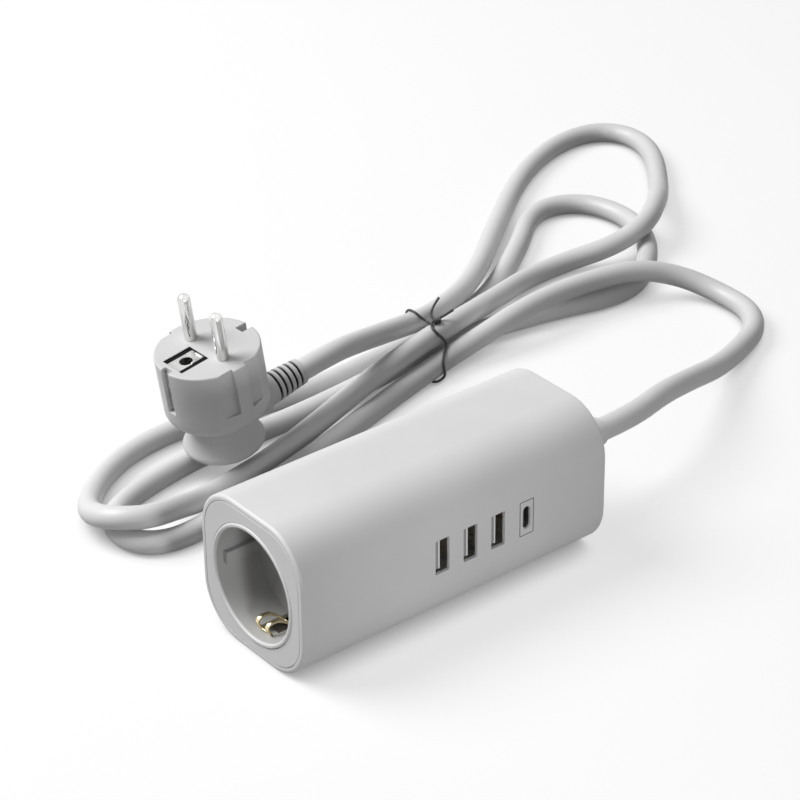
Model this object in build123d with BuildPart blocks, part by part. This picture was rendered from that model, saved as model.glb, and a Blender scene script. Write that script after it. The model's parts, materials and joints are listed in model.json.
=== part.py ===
from build123d import *
import os
from math import cos, pi, radians, sin, sqrt, tan

# A desk charger with a mains socket, three type A ports and one type C port, on a tied mains cord.
# Lengths are in millimetres. The charger lies on one flat side. Its long axis is Y, its socket
# faces -Y, its ports face +X and its cord leaves at +Y. The origin is on the surface below it.

# Housing
HOUSING_WIDTH = 56.0
HOUSING_LENGTH = 131.0
CORNER_RADIUS = 18.0
WALL = 2.0
FRONT_ROUND = 1.2
REAR_ROUND = 0.8
FIT = 0.15

# End caps
CAP_PLATE = 2.4
CAP_ROUND = 0.35
SKIRT_WALL = 1.4
SKIRT_LENGTH = 8.0

# Mains socket
RECESS_DIAMETER = 41.0
RECESS_DEPTH = 17.5
SOCKET_DROP = 0.7
CUP_WALL = 1.6
CUP_FLOOR = 2.5
CUP_FLANGE = 2.0
RIM_RISE = 0.4
RIM_ROUND = 0.64
PIN_SPACING = 19.0
PIN_DIAMETER = 4.8
PIN_LENGTH = 19.0
PIN_HOLE_PLAY = 0.35
GUIDE_WIDTH = 4.5
GUIDE_RISE = 2.0
WINDOW_MARGIN = 4.7

# Contacts and their carrier
CARRIER_DIAMETER = 36.0
CARRIER_SCREW_OFFSET = 10.0
PIN_TIP_ROOM = 1.0
BOSS_DIAMETER = 6.4
BOSS_LENGTH = 6.0
SCREW_DIAMETER = 3.0
SCREW_HEAD = 5.6
SCREW_HEAD_HEIGHT = 2.2
SCREW_PLAY = 0.1
STRIP = 0.8
CONTACT_WIDTH = 5.0
CONTACT_TAIL = 6.0
CONTACT_STAND_OUT = 1.0
STRAP_WIDTH = 7.0
STRAP_GAP = 0.5
CLIP_REACH = 2.9
CLIP_FLAT = 5.0

# Ports, their bezel and their board
PORT_RISE = 1.0
USB_A_FIRST = -7.4
USB_A_PITCH = 12.1
USB_A_COUNT = 3
USB_A_WIDTH = 5.8
USB_A_HEIGHT = 13.0
USB_A_LENGTH = 13.7
USB_A_SHEET = 0.3
USB_A_SET_BACK = 0.8
USB_A_BLOCK = 4.0
USB_A_TONGUE = (8.9, 1.84, 11.1)
USB_A_TONGUE_SHIFT = -0.9
USB_A_STRIP = (7.5, 0.2, 1.0)
USB_A_STRIP_PITCH = 2.3
USB_A_STRIP_COUNT = 4
USB_C_PLACE = 29.5
USB_C_WIDTH = 3.26
USB_C_HEIGHT = 8.94
USB_C_LENGTH = 10.5
USB_C_SHEET = 0.25
USB_C_SET_BACK = 0.6
USB_C_TONGUE = (0.7, 6.7)
BEZEL_WIDTH = 6.0
BEZEL_HEIGHT = 13.5
BEZEL_DEPTH = 3.4
BEZEL_FLANGE = 1.0
BEZEL_FLANGE_WIDTH = 1.0
PORT_PLAY = 0.1
PORT_CORNER = 0.4
USB_BOARD_HEIGHT = 34.4
USB_BOARD_OVERHANG = 8.5
CHIP = (5.0, 5.0, 1.4)

# Main board
BOARD_THICKNESS = 1.6
BOARD_HEIGHT = 9.0
BOARD_FRONT_GAP = 2.0
BOARD_REAR_GAP = 18.5
RIB = 1.2
RIB_GRIP = 2.5
BOARD_STOP = (3.0, 3.6)
BOARD_STOP_SPACING = 36.0

# Components on the main board. Places and footprints are shares of the board's width and of its
# length, which is measured from its front edge. Round ones take their diameter from the length.
CORE_PLACE_SHARE = (-0.0867, 0.1986)
CORE_SIZE_SHARE = (0.4766, 0.2603)
CORE_HEIGHT = 15.0
CORE_WINDOW_SHARE = 0.0685
CORE_WINDOW_HEIGHT = 7.5
BULK_PLACE_SHARE = (-0.26, 0.4247)
BULK_PITCH_SHARE = 0.1863
BULK_DIAMETER_SHARE = 0.1781
BULK_HEIGHT = 21.0
CAN_GROOVE_SHARE = 0.0417
OUTPUT_PLACE_SHARE = (0.0975, 0.4041)
OUTPUT_PITCH_SHARE = 0.0644
OUTPUT_DIAMETER_SHARE = 0.0603
OUTPUT_RISE = 9.0
TRANSISTOR_PLACE_SHARE = (-0.0087, 0.6575)
TRANSISTOR_SIZE_SHARE = (0.0953, 0.137)
TRANSISTOR_HEIGHT = 15.0
TRANSISTOR_CORNER = 0.4
SINK_SIZE_SHARE = (0.0347, 0.274)
SINK_HEIGHT = 20.0
FIN_SIZE_SHARE = (0.091, 0.0137)
FIN_COUNT = 5
X_CAPACITOR_PLACE_SHARE = (-0.2383, 0.9452)
X_CAPACITOR_SIZE_SHARE = (0.3683, 0.0959)
X_CAPACITOR_HEIGHT = 14.0
X_CAPACITOR_CORNER = 1.0
RECTIFIER_PLACE_SHARE = (0.1083, 0.8493)
RECTIFIER_SIZE_SHARE = (0.2166, 0.0493)
RECTIFIER_HEIGHT = 10.0
RECTIFIER_CORNER = 0.6
CHOKE_PLACE_SHARE = (-0.2166, 0.7973)
CHOKE_DIAMETER_SHARE = 0.1863
CHOKE_HOLE_SHARE = 0.0822
CHOKE_HEIGHT = 9.0
CHOKE_ROUND = 1.4
FUSE_PLACE_SHARE = (0.0108, 0.9452)
FUSE_DIAMETER_SHARE = 0.0521
FUSE_LENGTH_SHARE = 0.2058

# Cord, its inner end and its grip at the rear
CORD_DIAMETER = 8.6
CORD_PLAY = 0.1
CORD_INNER_LENGTH = 17.5
WIRE_DIAMETER = 2.8
LEAD_DIAMETER = 1.8
RELIEF_LENGTH = 22.0
RELIEF_ROOT = 14.0
RELIEF_TIP = 10.4
RELIEF_NECK = 12.0
RELIEF_FLANGE = 15.0
RELIEF_FLANGE_LENGTH = 2.0
RELIEF_RINGS = 4
RELIEF_GROOVE = 1.2
CRADLE_WIDTH = 29.0
CRADLE_LENGTH = 12.0
CRADLE_DEPTH = 9.0
CLAMP_LENGTH = 8.0
CLAMP_HEIGHT = 7.0
CLAMP_GAP = 0.4
CLAMP_SCREW_SPACING = 20.0
CLAMP_SCREW_BITE = 6.0
CLAMP_CORNER = 1.0

# Wires inside the housing. Distances along Y are in front of the cord's inner end.
WIRE_BEND = 4.0
WIRE_HEIGHT = 39.0
WIRE_RUN = 3.5
EARTH_RISE = (4.0, 16.0)
LINE_RISE = (9.0, 21.0)
LINE_DROP = (16.0, 6.0)
LINE_LANDING = 3.0

# Plug: body, grip knob, angled cord outlet and metal parts, along its own leaning axis
PLUG_BASE = (-101.3, -4.4, 11.0)
PLUG_AXIS = (0.0091, -0.1418, 0.9899)
PLUG_SIDE = (0.9995, 0.0297, -0.0049)
PLUG_HEIGHT = 43.1
PLUG_RADIUS = 19.5
PLUG_UNDERSIDE = 15.2
PLUG_ROUND = 5.5
PLUG_FACE_ROUND = 0.7
KNOB_FOOT = 13.5
KNOB_RADIUS = 15.8
KNOB_WIDEST = 2.3
KNOB_TOP = (12.0, 8.0)
KNOB_NECK = (9.6, 12.4)
KNOB_ROUNDS = [2.0, 1.8, 3.0, 1.4, 0.8]
PLUG_FLAT = 17.5
PLUG_FLAT_BOTTOM = 24.6
PLUG_RIB = 5.5
PLUG_GROOVE = 4.2
PLUG_GROOVE_NEAR = 17.2
PLUG_GROOVE_FAR = 14.5
OUTLET_HEIGHT = 12.0
OUTLET_BOSS = 15.0
OUTLET_BOSS_END = 19.0
OUTLET_END = 37.5
OUTLET_ROOT = 12.8
OUTLET_TIP = 10.2
OUTLET_RINGS = 5
OUTLET_RING_PITCH = 2.6
OUTLET_GROOVE = 1.2
EARTH_POCKET = (11.4, 12.2, 3.0)
EARTH_PLATE = (8.4, 11.6)
EARTH_PLATE_SET_BACK = 0.6
EARTH_HOLE = 5.0
EARTH_TUBE_WALL = 0.8
EARTH_PLACE = -9.7
PIN_ROOT = 8.0
PIN_ROOT_DIAMETER = 4.0
PIN_NECK = 0.1
PIN_TIP_SHARE = 0.46

# Tie: one black wire round the five strands, its two ends crossed on top
TIE_DIAMETER = 1.05
TIE_ROUTE = [
    (-121.5, 112.5, 22.6), (-114.2, 104.6, 21.2), (-111.0, 101.9, 19.4), (-99.6, 101.5, 7.9),
    (-99.6, 101.5, 0.55), (-131.8, 101.5, 0.55), (-129.0, 101.5, 23.3), (-114.6, 100.6, 20.0),
    (-111.6, 104.2, 22.3), (-112.6, 112.4, 22.0),
]
TIE_BENDS = [2.0, 2.0, 4.5, 4.5, 4.5, 4.5, 1.5, 1.5]

# Cord route, from the housing to the plug. Its last points are worked out from the plug.
CORD_ROUTE = [
    (0, 87.5, 28), (0, 105, 28), (-8.5, 126, 22.5), (-19, 150, 14), (-30.5, 176, 7),
    (-38.5, 197, 4.4), (-48, 214, 4.4), (-62, 224.5, 4.4), (-80, 227, 4.4), (-94.5, 220.5, 9),
    (-103, 206, 13.8), (-106, 187, 13.8), (-106.5, 164, 13.8), (-105.5, 142, 13.4),
    (-106.5, 124, 9.4), (-106, 105, 5.8), (-98, 74, 4.4), (-83.5, 25, 4.4), (-72, -20, 4.4),
    (-67.2, -48, 4.4), (-73.5, -61.5, 4.4), (-86, -66.5, 4.4), (-98, -62.5, 4.4),
    (-104.8, -51, 4.4), (-107.8, -34, 4.4), (-109.8, -10, 4.4), (-108, 26, 4.4),
    (-111, 60, 4.4), (-115, 84, 5), (-117, 105, 5.8), (-115, 124, 5), (-111.5, 146, 4.4),
    (-106.5, 168, 4.4), (-101, 187, 4.4), (-102, 204, 4.4), (-112.5, 221, 4.4),
    (-129, 236.5, 4.4), (-148, 244.5, 4.4), (-166, 244.5, 4.4), (-179.5, 238, 4.4),
    (-185.5, 225, 4.4), (-181, 210, 4.4), (-166, 192, 4.4), (-143, 158, 4.4),
    (-132.5, 134, 5), (-127, 112, 5.8), (-124, 84, 5), (-122.5, 52, 4.4), (-126, 20, 4.4),
    (-130.5, -9, 4.4), (-127.5, -34, 4.4), (-120, -51.5, 4.4), (-109, -65, 4.8),
    (-95.5, -72.5, 9.2), (-81.5, -71, 13.6), (-74, -60.5, 13.8), (-76, -46, 11),
    (-82, -30, 5.5), (-86.5, -14, 4.4), (-91, 8, 4.4), (-96.5, 33, 7.5), (-103, 57, 11),
    (-109.5, 82, 13.5), (-115, 106, 14.5), (-120, 131, 13.5), (-126.5, 151, 10),
    (-136.5, 175, 5), (-138.5, 198, 4.4), (-131.5, 218, 8.5), (-130, 236, 13.9),
    (-144, 256, 12.5), (-164, 275, 4.6), (-185, 292, 4.4), (-202, 301.5, 4.4),
    (-217.5, 302.5, 4.4), (-228.5, 293.5, 4.4), (-231.5, 278.5, 4.4), (-226.5, 258, 4.4),
    (-213, 233, 4.4), (-184, 195, 4.4), (-165, 171, 7), (-149, 153, 12), (-135.5, 133, 14.6),
    (-127, 110, 15), (-119.5, 86, 19.5), (-108.5, 63, 26.5),
]
CORD_LAST_RUN = 16.0
CORD_ARC_SHARE = 0.45

# Worked out from the sizes above
HALF_WIDTH = HOUSING_WIDTH / 2
HALF_LENGTH = HOUSING_LENGTH / 2
MID_HEIGHT = HALF_WIDTH
INNER_HALF = HALF_WIDTH - WALL
INNER_CORNER = CORNER_RADIUS - WALL
SOCKET_HEIGHT = MID_HEIGHT - SOCKET_DROP
CUP_RADIUS = RECESS_DIAMETER / 2 + CUP_WALL
RECESS_FLOOR = -HALF_LENGTH + RECESS_DEPTH
CUP_BACK = RECESS_FLOOR + CUP_FLOOR
CARRIER_BACK = RECESS_FLOOR + PIN_LENGTH + PIN_TIP_ROOM
CONTACT_SPACE = PIN_DIAMETER / 2 + SCREW_PLAY
BOARD_TOP = BOARD_HEIGHT + BOARD_THICKNESS
BOARD_FRONT = CARRIER_BACK + BOARD_FRONT_GAP
BOARD_REAR = HALF_LENGTH - BOARD_REAR_GAP
PORT_HEIGHT = MID_HEIGHT + PORT_RISE
USB_A_PLACES = [USB_A_FIRST + USB_A_PITCH * number for number in range(USB_A_COUNT)]
USB_BOARD_FACE = HALF_WIDTH - USB_A_SET_BACK - USB_A_LENGTH


def across(y):
    """Plane across the housing at y: local x is X, local y is Z, and it faces the socket end."""
    return Plane(origin=(0, y, 0), x_dir=(1, 0, 0), z_dir=(0, -1, 0))


def side(x):
    """Plane along the housing at x: local x is Y, local y is Z, and it faces the port side."""
    return Plane(origin=(x, 0, 0), x_dir=(0, 1, 0), z_dir=(1, 0, 0))


def inner_reach(z):
    """Half width of the space inside the housing at height z."""
    straight = INNER_HALF - INNER_CORNER
    into_corner = max(abs(z - MID_HEIGHT) - straight, 0)
    return straight + sqrt(INNER_CORNER**2 - into_corner**2)


BOARD_HALF = inner_reach(BOARD_HEIGHT) - FIT


# Sleeve
with BuildPart() as housing_sleeve:
    with BuildSketch(across(-HALF_LENGTH)):
        with Locations((0, MID_HEIGHT)):
            RectangleRounded(HOUSING_WIDTH, HOUSING_WIDTH, CORNER_RADIUS)
    extrude(amount=-HOUSING_LENGTH)
    fillet(housing_sleeve.faces().sort_by(Axis.Y)[0].edges(), FRONT_ROUND)
    fillet(housing_sleeve.faces().sort_by(Axis.Y)[-1].edges(), REAR_ROUND)
    with BuildSketch(across(-HALF_LENGTH)):
        with Locations((0, MID_HEIGHT)):
            RectangleRounded(2 * INNER_HALF, 2 * INNER_HALF, INNER_CORNER)
    extrude(amount=-HOUSING_LENGTH, mode=Mode.SUBTRACT)
    # Ribs above and below each long edge of the main board
    with BuildSketch(across(BOARD_FRONT)):
        for edge in (-BOARD_HALF, BOARD_HALF):
            for height in (BOARD_HEIGHT - RIB / 2, BOARD_TOP + FIT + RIB / 2):
                with Locations((edge, height)):
                    Rectangle(2 * RIB_GRIP, RIB)
        with Locations((0, MID_HEIGHT)):
            RectangleRounded(HOUSING_WIDTH - WALL, HOUSING_WIDTH - WALL, CORNER_RADIUS - WALL / 2,
                             mode=Mode.INTERSECT)
    extrude(amount=-(BOARD_REAR - BOARD_FRONT))
    # Stops that close the grooves in front of the board
    with BuildSketch(across(BOARD_FRONT - FIT)):
        for edge in (-BOARD_HALF, BOARD_HALF):
            with Locations((edge, BOARD_HEIGHT + BOARD_THICKNESS / 2)):
                Rectangle(2 * RIB_GRIP, BOARD_THICKNESS + FIT + 2 * RIB)
        with Locations((0, MID_HEIGHT)):
            RectangleRounded(HOUSING_WIDTH - WALL, HOUSING_WIDTH - WALL, CORNER_RADIUS - WALL / 2,
                             mode=Mode.INTERSECT)
    extrude(amount=RIB)
    # Windows of the ports
    with BuildSketch(side(HALF_WIDTH)):
        with Locations(*[(place, PORT_HEIGHT) for place in USB_A_PLACES]):
            RectangleRounded(USB_A_WIDTH + 2 * PORT_PLAY, USB_A_HEIGHT + 2 * PORT_PLAY, PORT_CORNER)
        with Locations((USB_C_PLACE, PORT_HEIGHT)):
            RectangleRounded(BEZEL_WIDTH + 2 * FIT, BEZEL_HEIGHT + 2 * FIT, PORT_CORNER + PORT_PLAY)
    extrude(amount=-WALL, mode=Mode.SUBTRACT)

# Front cap, flush inside the sleeve, with a hole for the cup
with BuildPart() as front_cap:
    with BuildSketch(across(-HALF_LENGTH)):
        with Locations((0, MID_HEIGHT)):
            RectangleRounded(2 * (INNER_HALF - FIT), 2 * (INNER_HALF - FIT), INNER_CORNER - FIT)
    extrude(amount=-(CAP_PLATE + SKIRT_LENGTH))
    fillet(front_cap.faces().sort_by(Axis.Y)[0].edges(), CAP_ROUND)
    with BuildSketch(across(-HALF_LENGTH + CAP_PLATE)):
        with Locations((0, MID_HEIGHT)):
            RectangleRounded(2 * (INNER_HALF - FIT - SKIRT_WALL), 2 * (INNER_HALF - FIT - SKIRT_WALL),
                             INNER_CORNER - FIT - SKIRT_WALL)
    extrude(amount=-SKIRT_LENGTH, mode=Mode.SUBTRACT)
    with BuildSketch(across(-HALF_LENGTH)):
        with Locations((0, SOCKET_HEIGHT)):
            Circle(CUP_RADIUS + FIT)
    extrude(amount=-(CAP_PLATE + SKIRT_LENGTH), mode=Mode.SUBTRACT)

# Socket cup with its rim bead, a flange behind the cap, guide ribs, clip windows and pin holes
FLANGE_RADIUS = INNER_HALF - FIT - SKIRT_WALL - SOCKET_DROP - FIT
WINDOW_FRONT = -HALF_LENGTH + WINDOW_MARGIN
WINDOW_BACK = RECESS_FLOOR - STRIP
SCREW_PLACES = [
    (PIN_SPACING / 2, SOCKET_HEIGHT + CARRIER_SCREW_OFFSET),
    (-PIN_SPACING / 2, SOCKET_HEIGHT - CARRIER_SCREW_OFFSET),
]
PIN_PLACES = [(-PIN_SPACING / 2, SOCKET_HEIGHT), (PIN_SPACING / 2, SOCKET_HEIGHT)]
with BuildPart() as socket_cup:
    with BuildSketch(across(-HALF_LENGTH - RIM_RISE)):
        with Locations((0, SOCKET_HEIGHT)):
            Circle(CUP_RADIUS)
    extrude(amount=-(RIM_RISE + RECESS_DEPTH + CUP_FLOOR))
    with BuildSketch(across(-HALF_LENGTH + CAP_PLATE)):
        with Locations((0, SOCKET_HEIGHT)):
            Circle(FLANGE_RADIUS)
    extrude(amount=-CUP_FLANGE)
    with BuildSketch(across(CUP_BACK)):
        with Locations(*SCREW_PLACES):
            Circle(BOSS_DIAMETER / 2)
    extrude(amount=-BOSS_LENGTH)
    with BuildSketch(across(-HALF_LENGTH - RIM_RISE)):
        with Locations((0, SOCKET_HEIGHT)):
            Circle(RECESS_DIAMETER / 2)
    extrude(amount=-(RIM_RISE + RECESS_DEPTH), mode=Mode.SUBTRACT)
    fillet(socket_cup.faces().sort_by(Axis.Y)[0].edges(), RIM_ROUND)
    with BuildSketch(across(-HALF_LENGTH + 2 * CUP_WALL)):
        with Locations((0, SOCKET_HEIGHT)):
            Circle(RECESS_DIAMETER / 2 + CUP_WALL / 2)
            Circle(RECESS_DIAMETER / 2 - GUIDE_RISE, mode=Mode.SUBTRACT)
            Rectangle(RECESS_DIAMETER + CUP_WALL, GUIDE_WIDTH, mode=Mode.INTERSECT)
    extrude(amount=-(RECESS_DEPTH - 2 * CUP_WALL))
    with BuildSketch(across(RECESS_FLOOR)):
        with Locations(*PIN_PLACES):
            Circle(PIN_DIAMETER / 2 + PIN_HOLE_PLAY)
    extrude(amount=-CUP_FLOOR, mode=Mode.SUBTRACT)
    with BuildSketch(across(CUP_BACK + BOSS_LENGTH)):
        with Locations(*SCREW_PLACES):
            Circle(SCREW_DIAMETER / 2 + SCREW_PLAY)
    extrude(amount=BOSS_LENGTH, mode=Mode.SUBTRACT)
    with BuildSketch(Plane.XY.offset(SOCKET_HEIGHT)):
        with Locations((0, (WINDOW_FRONT + WINDOW_BACK) / 2)):
            Rectangle(STRAP_WIDTH + 4 * FIT, WINDOW_BACK - WINDOW_FRONT)
    extrude(amount=CUP_RADIUS, both=True, mode=Mode.SUBTRACT)

# Contact carrier, screwed to the back of the cup
with BuildPart() as contact_carrier:
    with BuildSketch(across(CUP_BACK)):
        with Locations((0, SOCKET_HEIGHT)):
            Circle(CARRIER_DIAMETER / 2)
        with Locations(*PIN_PLACES):
            Rectangle(CONTACT_WIDTH + 2 * FIT, 2 * (CONTACT_SPACE + STRIP + FIT), mode=Mode.SUBTRACT)
        with Locations(*SCREW_PLACES):
            Circle(SCREW_DIAMETER / 2 + SCREW_PLAY, mode=Mode.SUBTRACT)
    extrude(amount=-(CARRIER_BACK - CUP_BACK))
    with BuildSketch(across(CUP_BACK)):
        with Locations(*SCREW_PLACES):
            Circle(BOSS_DIAMETER / 2 + FIT)
    extrude(amount=-(BOSS_LENGTH + FIT), mode=Mode.SUBTRACT)
    with BuildSketch(across(CUP_BACK)):
        with Locations((0, SOCKET_HEIGHT)):
            Rectangle(STRAP_WIDTH + 2 * FIT, CARRIER_DIAMETER)
    extrude(amount=-(STRIP + FIT), mode=Mode.SUBTRACT)

SHANK_LENGTH = CARRIER_BACK - CUP_BACK - STRIP
with BuildPart() as carrier_screws:
    with BuildSketch(across(CARRIER_BACK)):
        with Locations(*SCREW_PLACES):
            Circle(SCREW_HEAD / 2)
    extrude(amount=-SCREW_HEAD_HEIGHT)
    with BuildSketch(across(CARRIER_BACK)):
        with Locations(*SCREW_PLACES):
            Circle(SCREW_DIAMETER / 2)
    extrude(amount=SHANK_LENGTH)

# Line contacts: a strip bent into two leaves round the pin, with a tail for the lead
CONTACT_FRONT = CUP_BACK + STRIP + FIT
CONTACT_BACK = CARRIER_BACK + CONTACT_STAND_OUT


def line_contact(x):
    """Spring contact round the pin at x."""
    leaf = CONTACT_SPACE + STRIP / 2
    path = [(CONTACT_FRONT, SOCKET_HEIGHT + leaf), (CONTACT_BACK - STRIP / 2, SOCKET_HEIGHT + leaf),
            (CONTACT_BACK - STRIP / 2, SOCKET_HEIGHT - leaf), (CONTACT_FRONT, SOCKET_HEIGHT - leaf)]
    with BuildPart() as contact:
        with BuildSketch(side(x)):
            with BuildLine():
                FilletPolyline(*path, radius=STRIP)
            trace(line_width=STRIP)
            with Locations((CONTACT_BACK - STRIP / 2, SOCKET_HEIGHT - CONTACT_TAIL / 2)):
                Rectangle(STRIP, CONTACT_TAIL)
        extrude(amount=CONTACT_WIDTH / 2, both=True)
    return contact


line_contact_left = line_contact(-PIN_SPACING / 2)
line_contact_right = line_contact(PIN_SPACING / 2)

# Earth strap: from the clip at the top of the recess, behind the cup, to the clip at the bottom
STRAP_OUT = CUP_RADIUS + STRAP_GAP + STRIP / 2
CLIP_IN = RECESS_DIAMETER / 2 - CLIP_REACH
CLIP_TIP = WINDOW_FRONT + STRIP
CLIP_RISE = (WINDOW_BACK - WINDOW_FRONT - CLIP_FLAT) / 2
STRAP_PROFILE = [
    (CLIP_TIP, RECESS_DIAMETER / 2 + STRIP / 2), (CLIP_TIP + CLIP_RISE - STRIP, CLIP_IN),
    (CLIP_TIP + CLIP_RISE - STRIP + CLIP_FLAT, CLIP_IN), (WINDOW_BACK - STRIP, STRAP_OUT),
    (CUP_BACK + STRIP / 2, STRAP_OUT),
]
with BuildPart() as earth_strap:
    with BuildSketch(side(0)):
        with BuildLine():
            FilletPolyline(*[(y, SOCKET_HEIGHT + z) for y, z in STRAP_PROFILE],
                           *[(y, SOCKET_HEIGHT - z) for y, z in reversed(STRAP_PROFILE)], radius=STRIP)
        trace(line_width=STRIP)
    extrude(amount=STRAP_WIDTH / 2, both=True)

# Ports and their board
with BuildPart() as usb_board:
    with BuildSketch(side(USB_BOARD_FACE)):
        front_edge = USB_A_PLACES[0] - USB_BOARD_OVERHANG
        rear_edge = USB_C_PLACE + USB_BOARD_OVERHANG
        with Locations(((front_edge + rear_edge) / 2, BOARD_TOP + USB_BOARD_HEIGHT / 2)):
            Rectangle(rear_edge - front_edge, USB_BOARD_HEIGHT)
    extrude(amount=-BOARD_THICKNESS)

with BuildPart() as charge_controllers:
    with BuildSketch(side(USB_BOARD_FACE - BOARD_THICKNESS)):
        with Locations(*[(place, PORT_HEIGHT) for place in USB_A_PLACES + [USB_C_PLACE]]):
            Rectangle(CHIP[0], CHIP[1])
    extrude(amount=-CHIP[2])


def usb_a_shell(place):
    """Drawn metal shell of a type A port."""
    with BuildPart() as shell:
        with BuildSketch(side(USB_BOARD_FACE)):
            with Locations((place, PORT_HEIGHT)):
                RectangleRounded(USB_A_WIDTH, USB_A_HEIGHT, 2 * USB_A_SHEET)
                RectangleRounded(USB_A_WIDTH - 2 * USB_A_SHEET, USB_A_HEIGHT - 2 * USB_A_SHEET,
                                 USB_A_SHEET, mode=Mode.SUBTRACT)
        extrude(amount=USB_A_LENGTH)
    return shell


def usb_a_core(place):
    """Moulded block and tongue of a type A port."""
    with BuildPart() as core:
        with BuildSketch(side(USB_BOARD_FACE)):
            with Locations((place, PORT_HEIGHT)):
                RectangleRounded(USB_A_WIDTH - 2 * USB_A_SHEET - PORT_PLAY,
                                 USB_A_HEIGHT - 2 * USB_A_SHEET - PORT_PLAY, USB_A_SHEET)
        extrude(amount=USB_A_BLOCK)
        with BuildSketch(side(USB_BOARD_FACE + USB_A_BLOCK)):
            with Locations((place + USB_A_TONGUE_SHIFT, PORT_HEIGHT)):
                Rectangle(USB_A_TONGUE[1], USB_A_TONGUE[2])
        extrude(amount=USB_A_TONGUE[0])
    return core


def usb_a_contacts(place):
    """Four contact strips on the open side of a type A tongue."""
    length, thickness, width = USB_A_STRIP
    face = place + USB_A_TONGUE_SHIFT + USB_A_TONGUE[1] / 2
    with BuildPart() as contacts:
        with BuildSketch(side(USB_BOARD_FACE + USB_A_BLOCK)):
            with Locations((face + thickness / 2, PORT_HEIGHT)):
                with GridLocations(0, USB_A_STRIP_PITCH, 1, USB_A_STRIP_COUNT):
                    Rectangle(thickness, width)
        extrude(amount=length)
    return contacts


with BuildPart() as usb_c_bezel:
    with BuildSketch(side(HALF_WIDTH)):
        with Locations((USB_C_PLACE, PORT_HEIGHT)):
            RectangleRounded(BEZEL_WIDTH, BEZEL_HEIGHT, PORT_CORNER)
    extrude(amount=-BEZEL_DEPTH)
    with BuildSketch(side(INNER_HALF)):
        with Locations((USB_C_PLACE, PORT_HEIGHT)):
            Rectangle(BEZEL_WIDTH + 2 * BEZEL_FLANGE_WIDTH, BEZEL_HEIGHT + 2 * BEZEL_FLANGE_WIDTH)
    extrude(amount=-BEZEL_FLANGE)
    with BuildSketch(side(HALF_WIDTH)):
        with Locations((USB_C_PLACE, PORT_HEIGHT)):
            SlotOverall(USB_C_HEIGHT + PORT_PLAY, USB_C_WIDTH + PORT_PLAY, rotation=90)
    extrude(amount=-BEZEL_DEPTH, mode=Mode.SUBTRACT)

USB_C_FRONT = HALF_WIDTH - USB_C_SET_BACK
USB_C_BACK = USB_C_FRONT - USB_C_LENGTH
with BuildPart() as usb_c_shell:
    with BuildSketch(side(USB_C_BACK)):
        with Locations((USB_C_PLACE, PORT_HEIGHT)):
            SlotOverall(USB_C_HEIGHT, USB_C_WIDTH, rotation=90)
            SlotOverall(USB_C_HEIGHT - 2 * USB_C_SHEET, USB_C_WIDTH - 2 * USB_C_SHEET, rotation=90,
                        mode=Mode.SUBTRACT)
    extrude(amount=USB_C_LENGTH)

with BuildPart() as usb_c_core:
    with BuildSketch(side(USB_BOARD_FACE)):
        with Locations((USB_C_PLACE, PORT_HEIGHT)):
            Rectangle(USB_C_WIDTH, USB_C_HEIGHT)
    extrude(amount=USB_C_BACK - USB_BOARD_FACE)
    with BuildSketch(side(USB_C_BACK)):
        with Locations((USB_C_PLACE, PORT_HEIGHT)):
            Rectangle(USB_C_TONGUE[0], USB_C_TONGUE[1])
    extrude(amount=USB_C_LENGTH - 2 * USB_C_SET_BACK)

# Main board and what stands on it
with BuildPart() as main_board:
    with BuildSketch(across(BOARD_FRONT)):
        with Locations((0, BOARD_HEIGHT + BOARD_THICKNESS / 2)):
            Rectangle(2 * BOARD_HALF, BOARD_THICKNESS)
    extrude(amount=-(BOARD_REAR - BOARD_FRONT))


BOARD_LENGTH = BOARD_REAR - BOARD_FRONT
BOARD_WIDTH = 2 * BOARD_HALF


def on_board(share):
    """Point on the main board at shares of its width and its length."""
    return (share[0] * BOARD_WIDTH, BOARD_FRONT + share[1] * BOARD_LENGTH)


def footprint(share):
    """Width and length on the main board, from shares of its own."""
    return (share[0] * BOARD_WIDTH, share[1] * BOARD_LENGTH)


def standing_box(place, size, height, corner):
    """Box with rounded upright edges on the main board."""
    with BuildPart() as box:
        with BuildSketch(Plane.XY.offset(BOARD_TOP)):
            with Locations(place):
                RectangleRounded(size[0], size[1], corner)
        extrude(amount=height)
    return box


def standing_can(place, diameter, height):
    """Electrolytic capacitor can with a rolled groove above its base."""
    groove = diameter * CAN_GROOVE_SHARE
    with BuildPart() as can:
        with BuildSketch(Plane.XY.offset(BOARD_TOP)):
            with Locations(place):
                Circle(diameter / 2)
        extrude(amount=height)
        fillet(can.faces().sort_by(Axis.Z)[-1].edges(), groove)
        with BuildSketch(Plane.XY.offset(BOARD_TOP + 4 * groove)):
            with Locations(place):
                Circle(diameter / 2)
                Circle(diameter / 2 - groove, mode=Mode.SUBTRACT)
        extrude(amount=2 * groove, mode=Mode.SUBTRACT)
    return can


CORE_CENTRE = on_board(CORE_PLACE_SHARE)
CORE_WIDTH, CORE_LENGTH = footprint(CORE_SIZE_SHARE)
CORE_WINDOW = CORE_WINDOW_SHARE * BOARD_LENGTH
with BuildPart() as transformer_core:
    with BuildSketch(side(CORE_CENTRE[0])):
        with Locations((CORE_CENTRE[1], BOARD_TOP + CORE_HEIGHT / 2)):
            Rectangle(CORE_LENGTH, CORE_HEIGHT)
            with GridLocations(CORE_WINDOW * 2, 0, 2, 1):
                Rectangle(CORE_WINDOW, CORE_WINDOW_HEIGHT, mode=Mode.SUBTRACT)
    extrude(amount=CORE_WIDTH / 4, both=True)

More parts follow.
